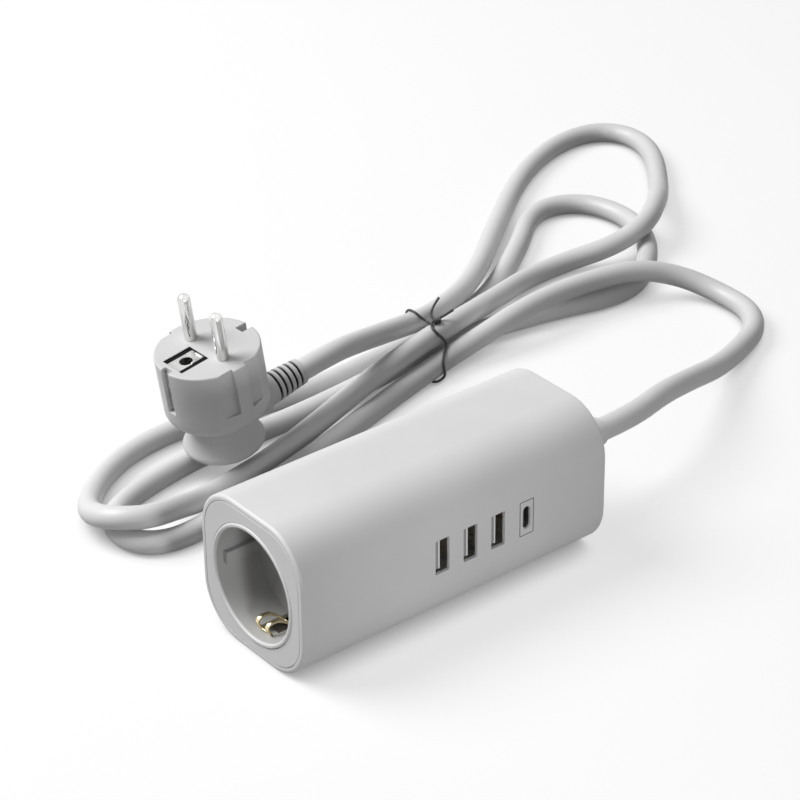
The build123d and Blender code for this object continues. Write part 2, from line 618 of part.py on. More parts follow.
with BuildPart() as transformer_winding:
    with BuildSketch(Plane.XY.offset(BOARD_TOP + CORE_HEIGHT / 2)):
        with Locations(CORE_CENTRE):
            Rectangle(CORE_WIDTH - 2 * FIT, 3 * CORE_WINDOW - 2 * FIT)
            Rectangle(CORE_WIDTH / 2 + 2 * FIT, CORE_WINDOW + 2 * FIT, mode=Mode.SUBTRACT)
    extrude(amount=CORE_WINDOW_HEIGHT / 2 - FIT, both=True)

BULK_DIAMETER = BULK_DIAMETER_SHARE * BOARD_LENGTH
BULK_SECOND_SHARE = (BULK_PLACE_SHARE[0], BULK_PLACE_SHARE[1] + BULK_PITCH_SHARE)
bulk_capacitor_1 = standing_can(on_board(BULK_PLACE_SHARE), BULK_DIAMETER, BULK_HEIGHT)
bulk_capacitor_2 = standing_can(on_board(BULK_SECOND_SHARE), BULK_DIAMETER, BULK_HEIGHT)

x_capacitor = standing_box(on_board(X_CAPACITOR_PLACE_SHARE), footprint(X_CAPACITOR_SIZE_SHARE),
                           X_CAPACITOR_HEIGHT, X_CAPACITOR_CORNER)
bridge_rectifier = standing_box(on_board(RECTIFIER_PLACE_SHARE), footprint(RECTIFIER_SIZE_SHARE),
                                RECTIFIER_HEIGHT, RECTIFIER_CORNER)
TRANSISTOR_CENTRE = on_board(TRANSISTOR_PLACE_SHARE)
TRANSISTOR_SIZE = footprint(TRANSISTOR_SIZE_SHARE)
switching_transistor = standing_box(TRANSISTOR_CENTRE, TRANSISTOR_SIZE, TRANSISTOR_HEIGHT,
                                    TRANSISTOR_CORNER)

SINK_X = TRANSISTOR_CENTRE[0] + TRANSISTOR_SIZE[0] / 2
SINK_SIZE = footprint(SINK_SIZE_SHARE)
FIN_SIZE = footprint(FIN_SIZE_SHARE)
with BuildPart() as heat_sink:
    with BuildSketch(Plane.XY.offset(BOARD_TOP)):
        with Locations((SINK_X + SINK_SIZE[0] / 2, TRANSISTOR_CENTRE[1])):
            Rectangle(SINK_SIZE[0], SINK_SIZE[1])
        with Locations((SINK_X + SINK_SIZE[0] + FIN_SIZE[0] / 2 - FIT, TRANSISTOR_CENTRE[1])):
            with GridLocations(0, SINK_SIZE[1] / FIN_COUNT, 1, FIN_COUNT):
                Rectangle(FIN_SIZE[0], FIN_SIZE[1])
    extrude(amount=SINK_HEIGHT)

OUTPUT_SECOND_SHARE = (OUTPUT_PLACE_SHARE[0], OUTPUT_PLACE_SHARE[1] + OUTPUT_PITCH_SHARE)
with BuildPart() as output_capacitors:
    with BuildSketch(Plane.XY.offset(BOARD_TOP)):
        with Locations(on_board(OUTPUT_PLACE_SHARE), on_board(OUTPUT_SECOND_SHARE)):
            Circle(OUTPUT_DIAMETER_SHARE * BOARD_LENGTH / 2)
    extrude(amount=OUTPUT_RISE)

with BuildPart() as emi_choke:
    with BuildSketch(Plane.XY.offset(BOARD_TOP)):
        with Locations(on_board(CHOKE_PLACE_SHARE)):
            Circle(CHOKE_DIAMETER_SHARE * BOARD_LENGTH / 2)
            Circle(CHOKE_HOLE_SHARE * BOARD_LENGTH / 2, mode=Mode.SUBTRACT)
    extrude(amount=CHOKE_HEIGHT)
    fillet(emi_choke.faces().filter_by(Axis.Z).edges(), CHOKE_ROUND)

FUSE_START = on_board(FUSE_PLACE_SHARE)
FUSE_RADIUS = FUSE_DIAMETER_SHARE * BOARD_LENGTH / 2
with BuildPart() as fuse:
    with BuildSketch(side(FUSE_START[0])):
        with Locations((FUSE_START[1], BOARD_TOP + FUSE_RADIUS)):
            Circle(FUSE_RADIUS)
    extrude(amount=FUSE_LENGTH_SHARE * BOARD_WIDTH)

# Rear cap with a cradle for the cord and two stops behind the main board
CRADLE_FRONT = HALF_LENGTH - CAP_PLATE - CRADLE_LENGTH
SKIRT_FRONT = HALF_LENGTH - CAP_PLATE - SKIRT_LENGTH
CLAMP_SCREWS = [(-CLAMP_SCREW_SPACING / 2, CRADLE_FRONT + CLAMP_LENGTH / 2),
                (CLAMP_SCREW_SPACING / 2, CRADLE_FRONT + CLAMP_LENGTH / 2)]
with BuildPart() as rear_cap:
    with BuildSketch(across(SKIRT_FRONT)):
        with Locations((0, MID_HEIGHT)):
            RectangleRounded(2 * (INNER_HALF - FIT), 2 * (INNER_HALF - FIT), INNER_CORNER - FIT)
    extrude(amount=-(CAP_PLATE + SKIRT_LENGTH))
    fillet(rear_cap.faces().sort_by(Axis.Y)[-1].edges(), CAP_ROUND)
    with BuildSketch(across(SKIRT_FRONT)):
        with Locations((0, MID_HEIGHT)):
            RectangleRounded(2 * (INNER_HALF - FIT - SKIRT_WALL), 2 * (INNER_HALF - FIT - SKIRT_WALL),
                             INNER_CORNER - FIT - SKIRT_WALL)
    extrude(amount=-SKIRT_LENGTH, mode=Mode.SUBTRACT)
    with BuildSketch(across(CRADLE_FRONT)):
        with Locations((0, MID_HEIGHT - CLAMP_GAP - CRADLE_DEPTH / 2)):
            Rectangle(CRADLE_WIDTH, CRADLE_DEPTH)
    extrude(amount=-CRADLE_LENGTH)
    with BuildSketch(across(BOARD_REAR + FIT)):
        with Locations((0, BOARD_HEIGHT + BOARD_THICKNESS / 2)):
            with GridLocations(BOARD_STOP_SPACING, 0, 2, 1):
                Rectangle(*BOARD_STOP)
    extrude(amount=-(HALF_LENGTH - CAP_PLATE - BOARD_REAR - FIT))
    with BuildSketch(across(CRADLE_FRONT)):
        with Locations((0, MID_HEIGHT)):
            Circle(CORD_DIAMETER / 2 + CORD_PLAY)
    extrude(amount=-CRADLE_LENGTH, mode=Mode.SUBTRACT)
    with BuildSketch(across(HALF_LENGTH - CAP_PLATE)):
        with Locations((0, MID_HEIGHT)):
            Circle(RELIEF_FLANGE / 2 + FIT)
    extrude(amount=RELIEF_FLANGE_LENGTH + FIT, mode=Mode.SUBTRACT)
    with BuildSketch(across(HALF_LENGTH)):
        with Locations((0, MID_HEIGHT)):
            Circle(RELIEF_NECK / 2 + FIT)
    extrude(amount=CAP_PLATE, mode=Mode.SUBTRACT)
    with BuildSketch(Plane.XY.offset(MID_HEIGHT - CLAMP_GAP)):
        with Locations(*CLAMP_SCREWS):
            Circle(SCREW_DIAMETER / 2 + SCREW_PLAY)
    extrude(amount=-CLAMP_SCREW_BITE, mode=Mode.SUBTRACT)

with BuildPart() as cord_clamp:
    with BuildSketch(across(CRADLE_FRONT)):
        with Locations((0, MID_HEIGHT + CLAMP_GAP + CLAMP_HEIGHT / 2)):
            RectangleRounded(CRADLE_WIDTH - 2 * SCREW_PLAY, CLAMP_HEIGHT, CLAMP_CORNER)
        with Locations((0, MID_HEIGHT)):
            Circle(CORD_DIAMETER / 2 + CORD_PLAY, mode=Mode.SUBTRACT)
    extrude(amount=-CLAMP_LENGTH)
    with BuildSketch(Plane.XY.offset(MID_HEIGHT)):
        with Locations(*CLAMP_SCREWS):
            Circle(SCREW_DIAMETER / 2 + SCREW_PLAY)
    extrude(amount=CLAMP_GAP + CLAMP_HEIGHT, mode=Mode.SUBTRACT)

CLAMP_TOP = MID_HEIGHT + CLAMP_GAP + CLAMP_HEIGHT
with BuildPart() as cord_clamp_screws:
    with BuildSketch(Plane.XY.offset(CLAMP_TOP)):
        with Locations(*CLAMP_SCREWS):
            Circle(SCREW_HEAD / 2)
    extrude(amount=SCREW_HEAD_HEIGHT)
    with BuildSketch(Plane.XY.offset(CLAMP_TOP)):
        with Locations(*CLAMP_SCREWS):
            Circle(SCREW_DIAMETER / 2)
    extrude(amount=-(CLAMP_HEIGHT + 2 * CLAMP_GAP + CLAMP_SCREW_BITE - STRIP))

# Strain relief of the housing, in the rear cap, and the cord's end inside it
RELIEF_END = HALF_LENGTH + RELIEF_LENGTH
RELIEF_START = HALF_LENGTH - CAP_PLATE - RELIEF_FLANGE_LENGTH
rear_strain_plane = Plane(origin=(0, 0, MID_HEIGHT), x_dir=(1, 0, 0), z_dir=(0, 0, 1))
with BuildPart() as rear_strain_relief:
    with BuildSketch(rear_strain_plane):
        with BuildLine():
            Polyline((CORD_DIAMETER / 2 + CORD_PLAY, RELIEF_START), (RELIEF_FLANGE / 2, RELIEF_START),
                     (RELIEF_FLANGE / 2, HALF_LENGTH - CAP_PLATE), (RELIEF_NECK / 2, HALF_LENGTH - CAP_PLATE),
                     (RELIEF_NECK / 2, HALF_LENGTH), (RELIEF_ROOT / 2, HALF_LENGTH),
                     (RELIEF_TIP / 2, RELIEF_END), (CORD_DIAMETER / 2 + CORD_PLAY, RELIEF_END), close=True)
        make_face()
        ring_pitch = (RELIEF_LENGTH - 2 * RELIEF_GROOVE) / (RELIEF_RINGS + 1)
        for ring in range(1, RELIEF_RINGS + 1):
            ring_place = HALF_LENGTH + RELIEF_GROOVE + ring * ring_pitch
            ring_radius = RELIEF_ROOT / 2 + (RELIEF_TIP - RELIEF_ROOT) / 2 * ring * ring_pitch / RELIEF_LENGTH
            with Locations((ring_radius, ring_place)):
                Rectangle(RELIEF_GROOVE, RELIEF_GROOVE, mode=Mode.SUBTRACT)
    revolve(axis=Axis((0, 0, MID_HEIGHT), (0, 1, 0)))

with BuildPart() as cord_inner_end:
    with BuildSketch(across(RELIEF_END)):
        with Locations((0, MID_HEIGHT)):
            Circle(CORD_DIAMETER / 2)
    extrude(amount=RELIEF_LENGTH + CORD_INNER_LENGTH)


def round_wire(points, diameter, bends):
    """Round wire along straight runs joined by arcs."""
    with BuildPart() as wire:
        with BuildLine() as path:
            FilletPolyline(*points, radius=bends)
        with BuildSketch(Plane(origin=path.line @ 0, z_dir=path.line % 0)):
            Circle(diameter / 2)
        sweep()
    return wire


# Wires from the cord's inner end to the contacts, above the components
WIRE_START = HALF_LENGTH - CORD_INNER_LENGTH
CORE_RADIUS = WIRE_DIAMETER / 2 / cos(radians(30)) + SCREW_PLAY
EARTH_WIRE_HEIGHT = SOCKET_HEIGHT + (CARRIER_DIAMETER / 2 + CUP_RADIUS) / 2


def line_wire(start_side, end_side):
    """Wire from its place in the cord to the line contact on one side."""
    start_x = start_side * CORE_RADIUS * cos(radians(30))
    start_z = MID_HEIGHT - CORE_RADIUS * sin(radians(30))
    run_x = start_side * WIRE_RUN
    contact_x = end_side * PIN_SPACING / 2
    return round_wire(
        [(start_x, WIRE_START, start_z), (start_x, WIRE_START - LINE_RISE[0], start_z),
         (run_x, WIRE_START - LINE_RISE[1], WIRE_HEIGHT), (run_x, BOARD_FRONT + LINE_DROP[0], WIRE_HEIGHT),
         (contact_x, BOARD_FRONT + LINE_DROP[1], SOCKET_HEIGHT + LINE_LANDING),
         (contact_x, CONTACT_BACK + LINE_LANDING, SOCKET_HEIGHT), (contact_x, CONTACT_BACK, SOCKET_HEIGHT)],
        WIRE_DIAMETER, [WIRE_BEND, WIRE_BEND, WIRE_BEND, WIRE_BEND, WIRE_BEND / 2])


wire_live = line_wire(-1, -1)
wire_neutral = line_wire(1, 1)
wire_earth = round_wire(
    [(0, WIRE_START, MID_HEIGHT + CORE_RADIUS), (0, WIRE_START - EARTH_RISE[0], MID_HEIGHT + CORE_RADIUS),
     (0, WIRE_START - EARTH_RISE[1], EARTH_WIRE_HEIGHT), (0, CUP_BACK + STRIP, EARTH_WIRE_HEIGHT)],
    WIRE_DIAMETER, WIRE_BEND)


def board_lead(x):
    """Lead from the tail of the line contact at x down to the main board."""
    height = SOCKET_HEIGHT - CONTACT_TAIL + LEAD_DIAMETER / 2
    turn = CONTACT_BACK + 2 * LEAD_DIAMETER
    return round_wire([(x, CONTACT_BACK, height), (x, turn, height), (x, turn, BOARD_TOP)],
                      LEAD_DIAMETER, LEAD_DIAMETER)


board_lead_live = board_lead(-PIN_SPACING / 2)
board_lead_neutral = board_lead(PIN_SPACING / 2)

# Plug planes: its own base plane, its pin face and the plane of its cord outlet
plug_plane = Plane(origin=PLUG_BASE, x_dir=PLUG_SIDE, z_dir=PLUG_AXIS)
plug_face = plug_plane.offset(PLUG_HEIGHT)
outlet_plane = plug_plane.offset(OUTLET_HEIGHT)
outlet_axis = Axis(outlet_plane.origin, outlet_plane.y_dir)
knob_plane = Plane(origin=PLUG_BASE, x_dir=plug_plane.x_dir, z_dir=-plug_plane.y_dir)
BRIDGE_TOP = PLUG_FLAT_BOTTOM + STRIP

with BuildPart() as plug_body:
    with BuildSketch(knob_plane):
        with BuildLine():
            outline = FilletPolyline(
                (0, 0), (KNOB_FOOT, 0), (KNOB_RADIUS, KNOB_WIDEST), KNOB_TOP, KNOB_NECK,
                (KNOB_TOP[0], PLUG_UNDERSIDE), (PLUG_RADIUS, PLUG_UNDERSIDE),
                (PLUG_RADIUS, PLUG_HEIGHT), (0, PLUG_HEIGHT),
                radius=[*KNOB_ROUNDS, PLUG_ROUND, PLUG_FACE_ROUND])
            Line(outline @ 1, outline @ 0)
        make_face()
    revolve(axis=Axis(knob_plane.origin, knob_plane.y_dir))
    # Outlet boss and ringed strain relief
    with BuildSketch(outlet_plane):
        with BuildLine():
            Polyline((0, 0), (OUTLET_BOSS / 2, 0), (OUTLET_BOSS / 2, OUTLET_BOSS_END),
                     (OUTLET_ROOT / 2, OUTLET_BOSS_END), (OUTLET_TIP / 2, OUTLET_END), (0, OUTLET_END),
                     close=True)
        make_face()
        outlet_taper = (OUTLET_ROOT - OUTLET_TIP) / 2 / (OUTLET_END - OUTLET_BOSS_END)
        for ring in range(1, OUTLET_RINGS + 1):
            with Locations((OUTLET_TIP / 2 + outlet_taper * ring * OUTLET_RING_PITCH,
                            OUTLET_END - ring * OUTLET_RING_PITCH)):
                Rectangle(2 * OUTLET_GROOVE, OUTLET_GROOVE, mode=Mode.SUBTRACT)
    revolve(axis=outlet_axis)
    # Flats on both sides, each with a rib in its middle
    with BuildSketch(plug_face):
        Circle(PLUG_RADIUS + 1)
        Rectangle(2 * PLUG_FLAT, 2 * PLUG_RADIUS + 2, mode=Mode.SUBTRACT)
        Rectangle(2 * PLUG_RADIUS + 2, PLUG_RIB, mode=Mode.SUBTRACT)
    extrude(amount=-(PLUG_HEIGHT - PLUG_FLAT_BOTTOM), mode=Mode.SUBTRACT)
    # Grooves of the earth strip, and the slot between their feet
    with BuildSketch(plug_face):
        with Locations((0, -PLUG_GROOVE_NEAR)):
            Rectangle(PLUG_GROOVE, PLUG_RADIUS, align=(Align.CENTER, Align.MAX))
        with Locations((0, PLUG_GROOVE_FAR)):
            Rectangle(PLUG_GROOVE, PLUG_RADIUS, align=(Align.CENTER, Align.MIN))
    extrude(amount=-(PLUG_HEIGHT - PLUG_FLAT_BOTTOM), mode=Mode.SUBTRACT)
    with BuildSketch(plug_plane.offset(PLUG_FLAT_BOTTOM)):
        with Locations((0, -PLUG_GROOVE_NEAR)):
            Rectangle(PLUG_GROOVE, PLUG_GROOVE_NEAR + PLUG_GROOVE_FAR, align=(Align.CENTER, Align.MIN))
    extrude(amount=STRIP + SCREW_PLAY, mode=Mode.SUBTRACT)
    # Earth pocket and pin roots
    with BuildSketch(plug_face):
        with Locations((0, EARTH_PLACE)):
            Rectangle(EARTH_POCKET[0], EARTH_POCKET[1])
    extrude(amount=-EARTH_POCKET[2], mode=Mode.SUBTRACT)
    with BuildSketch(plug_face):
        with Locations((0, EARTH_PLACE)):
            Circle(EARTH_HOLE / 2 + EARTH_TUBE_WALL + SCREW_PLAY)
    extrude(amount=-(PLUG_HEIGHT - BRIDGE_TOP), mode=Mode.SUBTRACT)
    with BuildSketch(plug_face):
        with GridLocations(PIN_SPACING, 0, 2, 1):
            Circle(PIN_ROOT_DIAMETER / 2)
    extrude(amount=-PIN_ROOT, mode=Mode.SUBTRACT)


def plug_pin(x):
    """Round pin with a domed tip and a thinner root in the plug's body."""
    with BuildPart() as pin:
        with BuildSketch(plug_face.offset(PIN_NECK)):
            with Locations((x, 0)):
                Circle(PIN_DIAMETER / 2)
        extrude(amount=PIN_LENGTH - PIN_NECK)
        tip = pin.faces().sort_by(Axis.Z)[-1]
        fillet(tip.edges(), PIN_DIAMETER * PIN_TIP_SHARE)
        with BuildSketch(plug_face.offset(PIN_NECK)):
            with Locations((x, 0)):
                Circle(PIN_ROOT_DIAMETER / 2)
        extrude(amount=-(PIN_ROOT + PIN_NECK))
    return pin


plug_pin_left = plug_pin(-PIN_SPACING / 2)
plug_pin_right = plug_pin(PIN_SPACING / 2)

# Earth strip of the plug: two legs on the floors of the grooves, joined under the pocket
LEG_TOP = PLUG_HEIGHT - 2 * STRIP
with BuildPart() as plug_earth_strip:
    with BuildSketch(Plane(origin=PLUG_BASE, x_dir=plug_plane.y_dir, z_dir=plug_plane.x_dir)):
        with BuildLine():
            Polyline((-PLUG_GROOVE_NEAR - STRIP, PLUG_FLAT_BOTTOM),
                     (PLUG_GROOVE_FAR + STRIP, PLUG_FLAT_BOTTOM),
                     (PLUG_GROOVE_FAR + STRIP, LEG_TOP), (PLUG_GROOVE_FAR, LEG_TOP),
                     (PLUG_GROOVE_FAR, BRIDGE_TOP), (-PLUG_GROOVE_NEAR, BRIDGE_TOP),
                     (-PLUG_GROOVE_NEAR, LEG_TOP), (-PLUG_GROOVE_NEAR - STRIP, LEG_TOP), close=True)
        make_face()
    extrude(amount=PLUG_GROOVE / 2 - SCREW_PLAY, both=True)

with BuildPart() as plug_earth_socket:
    with BuildSketch(plug_face.offset(-EARTH_PLATE_SET_BACK)):
        with Locations((0, EARTH_PLACE)):
            Rectangle(*EARTH_PLATE)
    extrude(amount=-STRIP)
    with BuildSketch(plug_face.offset(-EARTH_PLATE_SET_BACK)):
        with Locations((0, EARTH_PLACE)):
            Circle(EARTH_HOLE / 2 + EARTH_TUBE_WALL)
    extrude(amount=-(PLUG_HEIGHT - EARTH_PLATE_SET_BACK - BRIDGE_TOP))
    with BuildSketch(plug_face.offset(-EARTH_PLATE_SET_BACK)):
        with Locations((0, EARTH_PLACE)):
            Circle(EARTH_HOLE / 2)
    extrude(amount=-(PLUG_HEIGHT - EARTH_PLATE_SET_BACK - BRIDGE_TOP), mode=Mode.SUBTRACT)

# Cord: straight runs joined by arcs as large as the runs allow
cord_end = outlet_plane.origin + outlet_plane.y_dir * OUTLET_END
cord_points = [Vector(*point) for point in CORD_ROUTE]
cord_points += [cord_end + outlet_plane.y_dir * CORD_LAST_RUN, cord_end]
cord_radii = []
for before, corner, after in zip(cord_points, cord_points[1:], cord_points[2:]):
    half_turn = radians((corner - before).get_angle(after - corner)) / 2
    shorter_run = min((corner - before).length, (after - corner).length)
    cord_radii.append(CORD_ARC_SHARE * shorter_run / tan(half_turn))
with BuildPart() as cord:
    with BuildLine() as cord_path:
        FilletPolyline(*cord_points, radius=cord_radii)
    with BuildSketch(Plane(origin=cord_path.line @ 0, z_dir=cord_path.line % 0)):
        Circle(CORD_DIAMETER / 2)
    sweep()

cord_tie = round_wire(TIE_ROUTE, TIE_DIAMETER, TIE_BENDS)

pieces = {
    "housing_sleeve": housing_sleeve,
    "front_cap": front_cap,
    "socket_cup": socket_cup,
    "contact_carrier": contact_carrier,
    "carrier_screws": carrier_screws,
    "line_contact_left": line_contact_left,
    "line_contact_right": line_contact_right,
    "earth_strap": earth_strap,
    "usb_board": usb_board,
    "charge_controllers": charge_controllers,
    "usb_c_bezel": usb_c_bezel,
    "usb_c_shell": usb_c_shell,
    "usb_c_core": usb_c_core,
    "main_board": main_board,
    "transformer_core": transformer_core,
    "transformer_winding": transformer_winding,
    "bulk_capacitor_1": bulk_capacitor_1,
    "bulk_capacitor_2": bulk_capacitor_2,
    "output_capacitors": output_capacitors,
    "emi_choke": emi_choke,
    "x_capacitor": x_capacitor,
    "fuse": fuse,
    "bridge_rectifier": bridge_rectifier,
    "switching_transistor": switching_transistor,
    "heat_sink": heat_sink,
    "rear_cap": rear_cap,
    "cord_clamp": cord_clamp,
    "cord_clamp_screws": cord_clamp_screws,
    "rear_strain_relief": rear_strain_relief,
    "cord_inner_end": cord_inner_end,
    "wire_live": wire_live,
    "wire_neutral": wire_neutral,
    "wire_earth": wire_earth,
    "board_lead_live": board_lead_live,
    "board_lead_neutral": board_lead_neutral,
    "plug_body": plug_body,
    "plug_pin_left": plug_pin_left,
    "plug_pin_right": plug_pin_right,
    "plug_earth_strip": plug_earth_strip,
    "plug_earth_socket": plug_earth_socket,
    "cord": cord,
    "cord_tie": cord_tie,
}
for number, place in enumerate(USB_A_PLACES, start=1):
    pieces[f"usb_a_shell_{number}"] = usb_a_shell(place)
    pieces[f"usb_a_core_{number}"] = usb_a_core(place)
    pieces[f"usb_a_contacts_{number}"] = usb_a_contacts(place)

os.makedirs("parts", exist_ok=True)
for name, piece in pieces.items():
    piece.part.label = name
    export_step(piece.part, f"parts/{name}.step")

cord_length = sum(edge.length for edge in cord_path.edges())
cord_section = pi * (CORD_DIAMETER / 2) ** 2
print("cord radii", [round(radius, 1) for radius in cord_radii])
print("cord length", round(cord_length, 1), "volume", round(cord.part.volume, 1),
      "section times length", round(cord_section * cord_length, 1))
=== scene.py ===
import json
import math

import bpy
from mathutils import Matrix, Vector


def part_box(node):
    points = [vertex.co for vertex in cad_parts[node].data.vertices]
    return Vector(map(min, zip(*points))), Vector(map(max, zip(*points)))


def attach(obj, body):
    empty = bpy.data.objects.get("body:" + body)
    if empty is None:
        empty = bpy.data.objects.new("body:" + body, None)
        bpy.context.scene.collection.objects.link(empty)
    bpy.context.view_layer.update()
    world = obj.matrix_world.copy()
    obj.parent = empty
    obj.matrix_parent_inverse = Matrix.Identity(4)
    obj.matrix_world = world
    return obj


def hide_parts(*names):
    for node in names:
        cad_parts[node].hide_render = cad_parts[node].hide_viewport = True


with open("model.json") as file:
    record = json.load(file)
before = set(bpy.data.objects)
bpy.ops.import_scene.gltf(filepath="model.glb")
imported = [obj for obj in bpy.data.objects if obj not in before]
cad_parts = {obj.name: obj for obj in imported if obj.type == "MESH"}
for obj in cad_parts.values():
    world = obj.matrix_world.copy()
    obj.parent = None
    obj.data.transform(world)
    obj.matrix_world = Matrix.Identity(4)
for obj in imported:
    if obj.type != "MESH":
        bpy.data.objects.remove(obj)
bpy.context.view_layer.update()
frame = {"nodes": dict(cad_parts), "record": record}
nodes = frame["nodes"]

# Camera, matched to the photo: angles in degrees, lengths in metres, lens and sensor in millimetres
CAMERA_AZIMUTH = 51.698
CAMERA_ELEVATION = 30.376
CAMERA_ROLL = -0.71
CAMERA_DISTANCE = 0.93884
CAMERA_TARGET = Vector((-0.00313, 0.0, 0.07215))
CAMERA_LENS = 126.79
CAMERA_SENSOR = 36.0
CAMERA_NEAR = 0.01
CAMERA_FAR = 50.0

# Light: powers at which a colour renders about as it is written, the fill lamp's cone in degrees
KEY_TARGET = (-0.08, 0.08, 0.0)
KEY_PLACE = (-0.88, -0.69, 1.29)
KEY_SIZE = 1.1
KEY_POWER = 31.5
FILL_TARGET = (0.028, 0.0, 0.028)
FILL_PLACE = (0.9, -0.27, 0.12)
FILL_SIZE = 0.1
FILL_CONE = 17.0
FILL_BLEND = 0.5
FILL_POWER = 14.0
SKY_STRENGTH = 0.17

# Floor: half its size, its grey and that grey's drift, the share of its own glow, and the grey that
# bounced light meets
FLOOR_HALF = 8.0
FLOOR_GREY = 0.99
FLOOR_DRIFT = 0.006
FLOOR_GLOW = 0.68
FLOOR_BOUNCE = 0.13

# Soft shade near the object on the floor: its reach, the open shares at which it is full and gone,
# and the glow that is left where it is full
CONTACT_REACH = 0.015
CONTACT_CLOSED = 0.1
CONTACT_OPEN = 0.6
CONTACT_SHADE = 0.35
CONTACT_SAMPLES = 12

# Plug frame: origin on its axis under the knob, then the directions up and, roughly, across
PLUG_BASE = Vector((-0.1013, -0.0044, 0.0110))
PLUG_Z = Vector((0.0091, -0.1418, 0.9899)).normalized()
PLUG_SIDE = Vector((0.9995, 0.0297, -0.0049))
PLUG_X = (PLUG_SIDE - PLUG_Z * PLUG_Z.dot(PLUG_SIDE)).normalized()
PLUG_Y = PLUG_Z.cross(PLUG_X)

# Plug relief in the plug's frame: height of its axis, its end, and how far the cord runs on in line
RELIEF_HEIGHT = 0.0120
RELIEF_END = 0.0375
RELIEF_LEAD = 0.016

# Cord
CORD_DIAMETER = 0.0086
CORD_EXIT = (0.0, 0.0875, 0.028)


def on_plug(x, y, z):
    """Point of the plug's own frame, given in metres."""
    return PLUG_BASE + PLUG_X * x + PLUG_Y * y + PLUG_Z * z


# Route of the cord from the housing to the plug, whose relief the last two points are in line with
CORD_ROUTE = [
    CORD_EXIT, (0, 0.104, 0.028), (-0.0075, 0.126, 0.026), (-0.017, 0.15, 0.019),
    (-0.028, 0.175, 0.01), (-0.039, 0.198, 0.005), (-0.047, 0.215, 0.0044), (-0.06, 0.2245, 0.0044),
    (-0.078, 0.2255, 0.0044), (-0.0925, 0.2175, 0.009), (-0.1015, 0.202, 0.0138),
    (-0.106, 0.183, 0.0138), (-0.1075, 0.161, 0.0138), (-0.1055, 0.14, 0.0134),
    (-0.1055, 0.1225, 0.0094), (-0.1055, 0.104, 0.0058), (-0.0985, 0.0735, 0.0044),
    (-0.0835, 0.025, 0.0044), (-0.072, -0.019, 0.0044), (-0.0675, -0.0465, 0.0044),
    (-0.0725, -0.0595, 0.0044), (-0.084, -0.0635, 0.0044), (-0.0955, -0.0585, 0.0044),
    (-0.102, -0.0465, 0.0044), (-0.1065, -0.0295, 0.0044), (-0.11, -0.0055, 0.0044),
    (-0.109, 0.03, 0.0044), (-0.1115, 0.064, 0.0044), (-0.114, 0.0875, 0.005), (-0.1158, 0.108, 0.0058),
    (-0.1155, 0.1265, 0.005), (-0.1135, 0.148, 0.0044), (-0.1095, 0.169, 0.0044),
    (-0.104, 0.187, 0.0044), (-0.1045, 0.203, 0.0044), (-0.1145, 0.219, 0.0044), (-0.13, 0.234, 0.0044),
    (-0.1475, 0.242, 0.0044), (-0.164, 0.242, 0.0044), (-0.1765, 0.2355, 0.0044),
    (-0.182, 0.2225, 0.0044), (-0.1775, 0.208, 0.0044), (-0.1625, 0.191, 0.0044),
    (-0.1395, 0.158, 0.0044), (-0.1295, 0.1345, 0.005), (-0.125, 0.1135, 0.0058),
    (-0.1232, 0.086, 0.005), (-0.1215, 0.0545, 0.0044), (-0.126, 0.023, 0.0044),
    (-0.131, -0.0055, 0.0044), (-0.128, -0.0295, 0.0044), (-0.12, -0.0465, 0.0044),
    (-0.1085, -0.06, 0.0048), (-0.095, -0.0675, 0.0092), (-0.0815, -0.0665, 0.0136),
    (-0.074, -0.0565, 0.0138), (-0.0765, -0.0425, 0.011), (-0.0825, -0.0275, 0.0055),
    (-0.0865, -0.012, 0.0044), (-0.091, 0.0095, 0.0044), (-0.096, 0.034, 0.0075),
    (-0.1015, 0.0575, 0.011), (-0.107, 0.0825, 0.0135), (-0.112, 0.106, 0.0145),
    (-0.118, 0.1305, 0.0135), (-0.126, 0.1495, 0.01), (-0.137, 0.1725, 0.005), (-0.1385, 0.195, 0.0044),
    (-0.1305, 0.2145, 0.0085), (-0.129, 0.2315, 0.0139), (-0.1435, 0.2515, 0.0125),
    (-0.1625, 0.271, 0.0046), (-0.183, 0.2885, 0.0044), (-0.1995, 0.298, 0.0044),
    (-0.2145, 0.299, 0.0044), (-0.225, 0.2905, 0.0044), (-0.2275, 0.2755, 0.0044),
    (-0.2225, 0.255, 0.0044), (-0.2095, 0.23, 0.0044), (-0.1805, 0.1925, 0.0044),
    (-0.1605, 0.1695, 0.007), (-0.1445, 0.152, 0.012), (-0.131, 0.1325, 0.0146), (-0.123, 0.11, 0.015),
    (-0.1175, 0.086, 0.0195), (-0.1085, 0.063, 0.0265),
    on_plug(0.0, RELIEF_END + RELIEF_LEAD, RELIEF_HEIGHT), on_plug(0.0, RELIEF_END, RELIEF_HEIGHT),
]


def make_camera():
    """Camera at the photo's place and angle."""
    data = bpy.data.cameras.new("photo_camera")
    data.lens = CAMERA_LENS
    data.sensor_width = CAMERA_SENSOR
    data.clip_start = CAMERA_NEAR
    data.clip_end = CAMERA_FAR
    camera = bpy.data.objects.new("photo_camera", data)
    bpy.context.scene.collection.objects.link(camera)
    azimuth, elevation = math.radians(CAMERA_AZIMUTH), math.radians(CAMERA_ELEVATION)
    roll = math.radians(CAMERA_ROLL)
    back = Vector((math.sin(azimuth) * math.cos(elevation), -math.cos(azimuth) * math.cos(elevation),
                   math.sin(elevation)))
    level = Vector((math.cos(azimuth), math.sin(azimuth), 0.0))
    upright = back.cross(level)
    right = level * math.cos(roll) + upright * math.sin(roll)
    up = upright * math.cos(roll) - level * math.sin(roll)
    place = Matrix((right, up, back)).transposed().to_4x4()
    place.translation = CAMERA_TARGET + back * CAMERA_DISTANCE
    camera.matrix_world = place
    bpy.context.scene.camera = camera


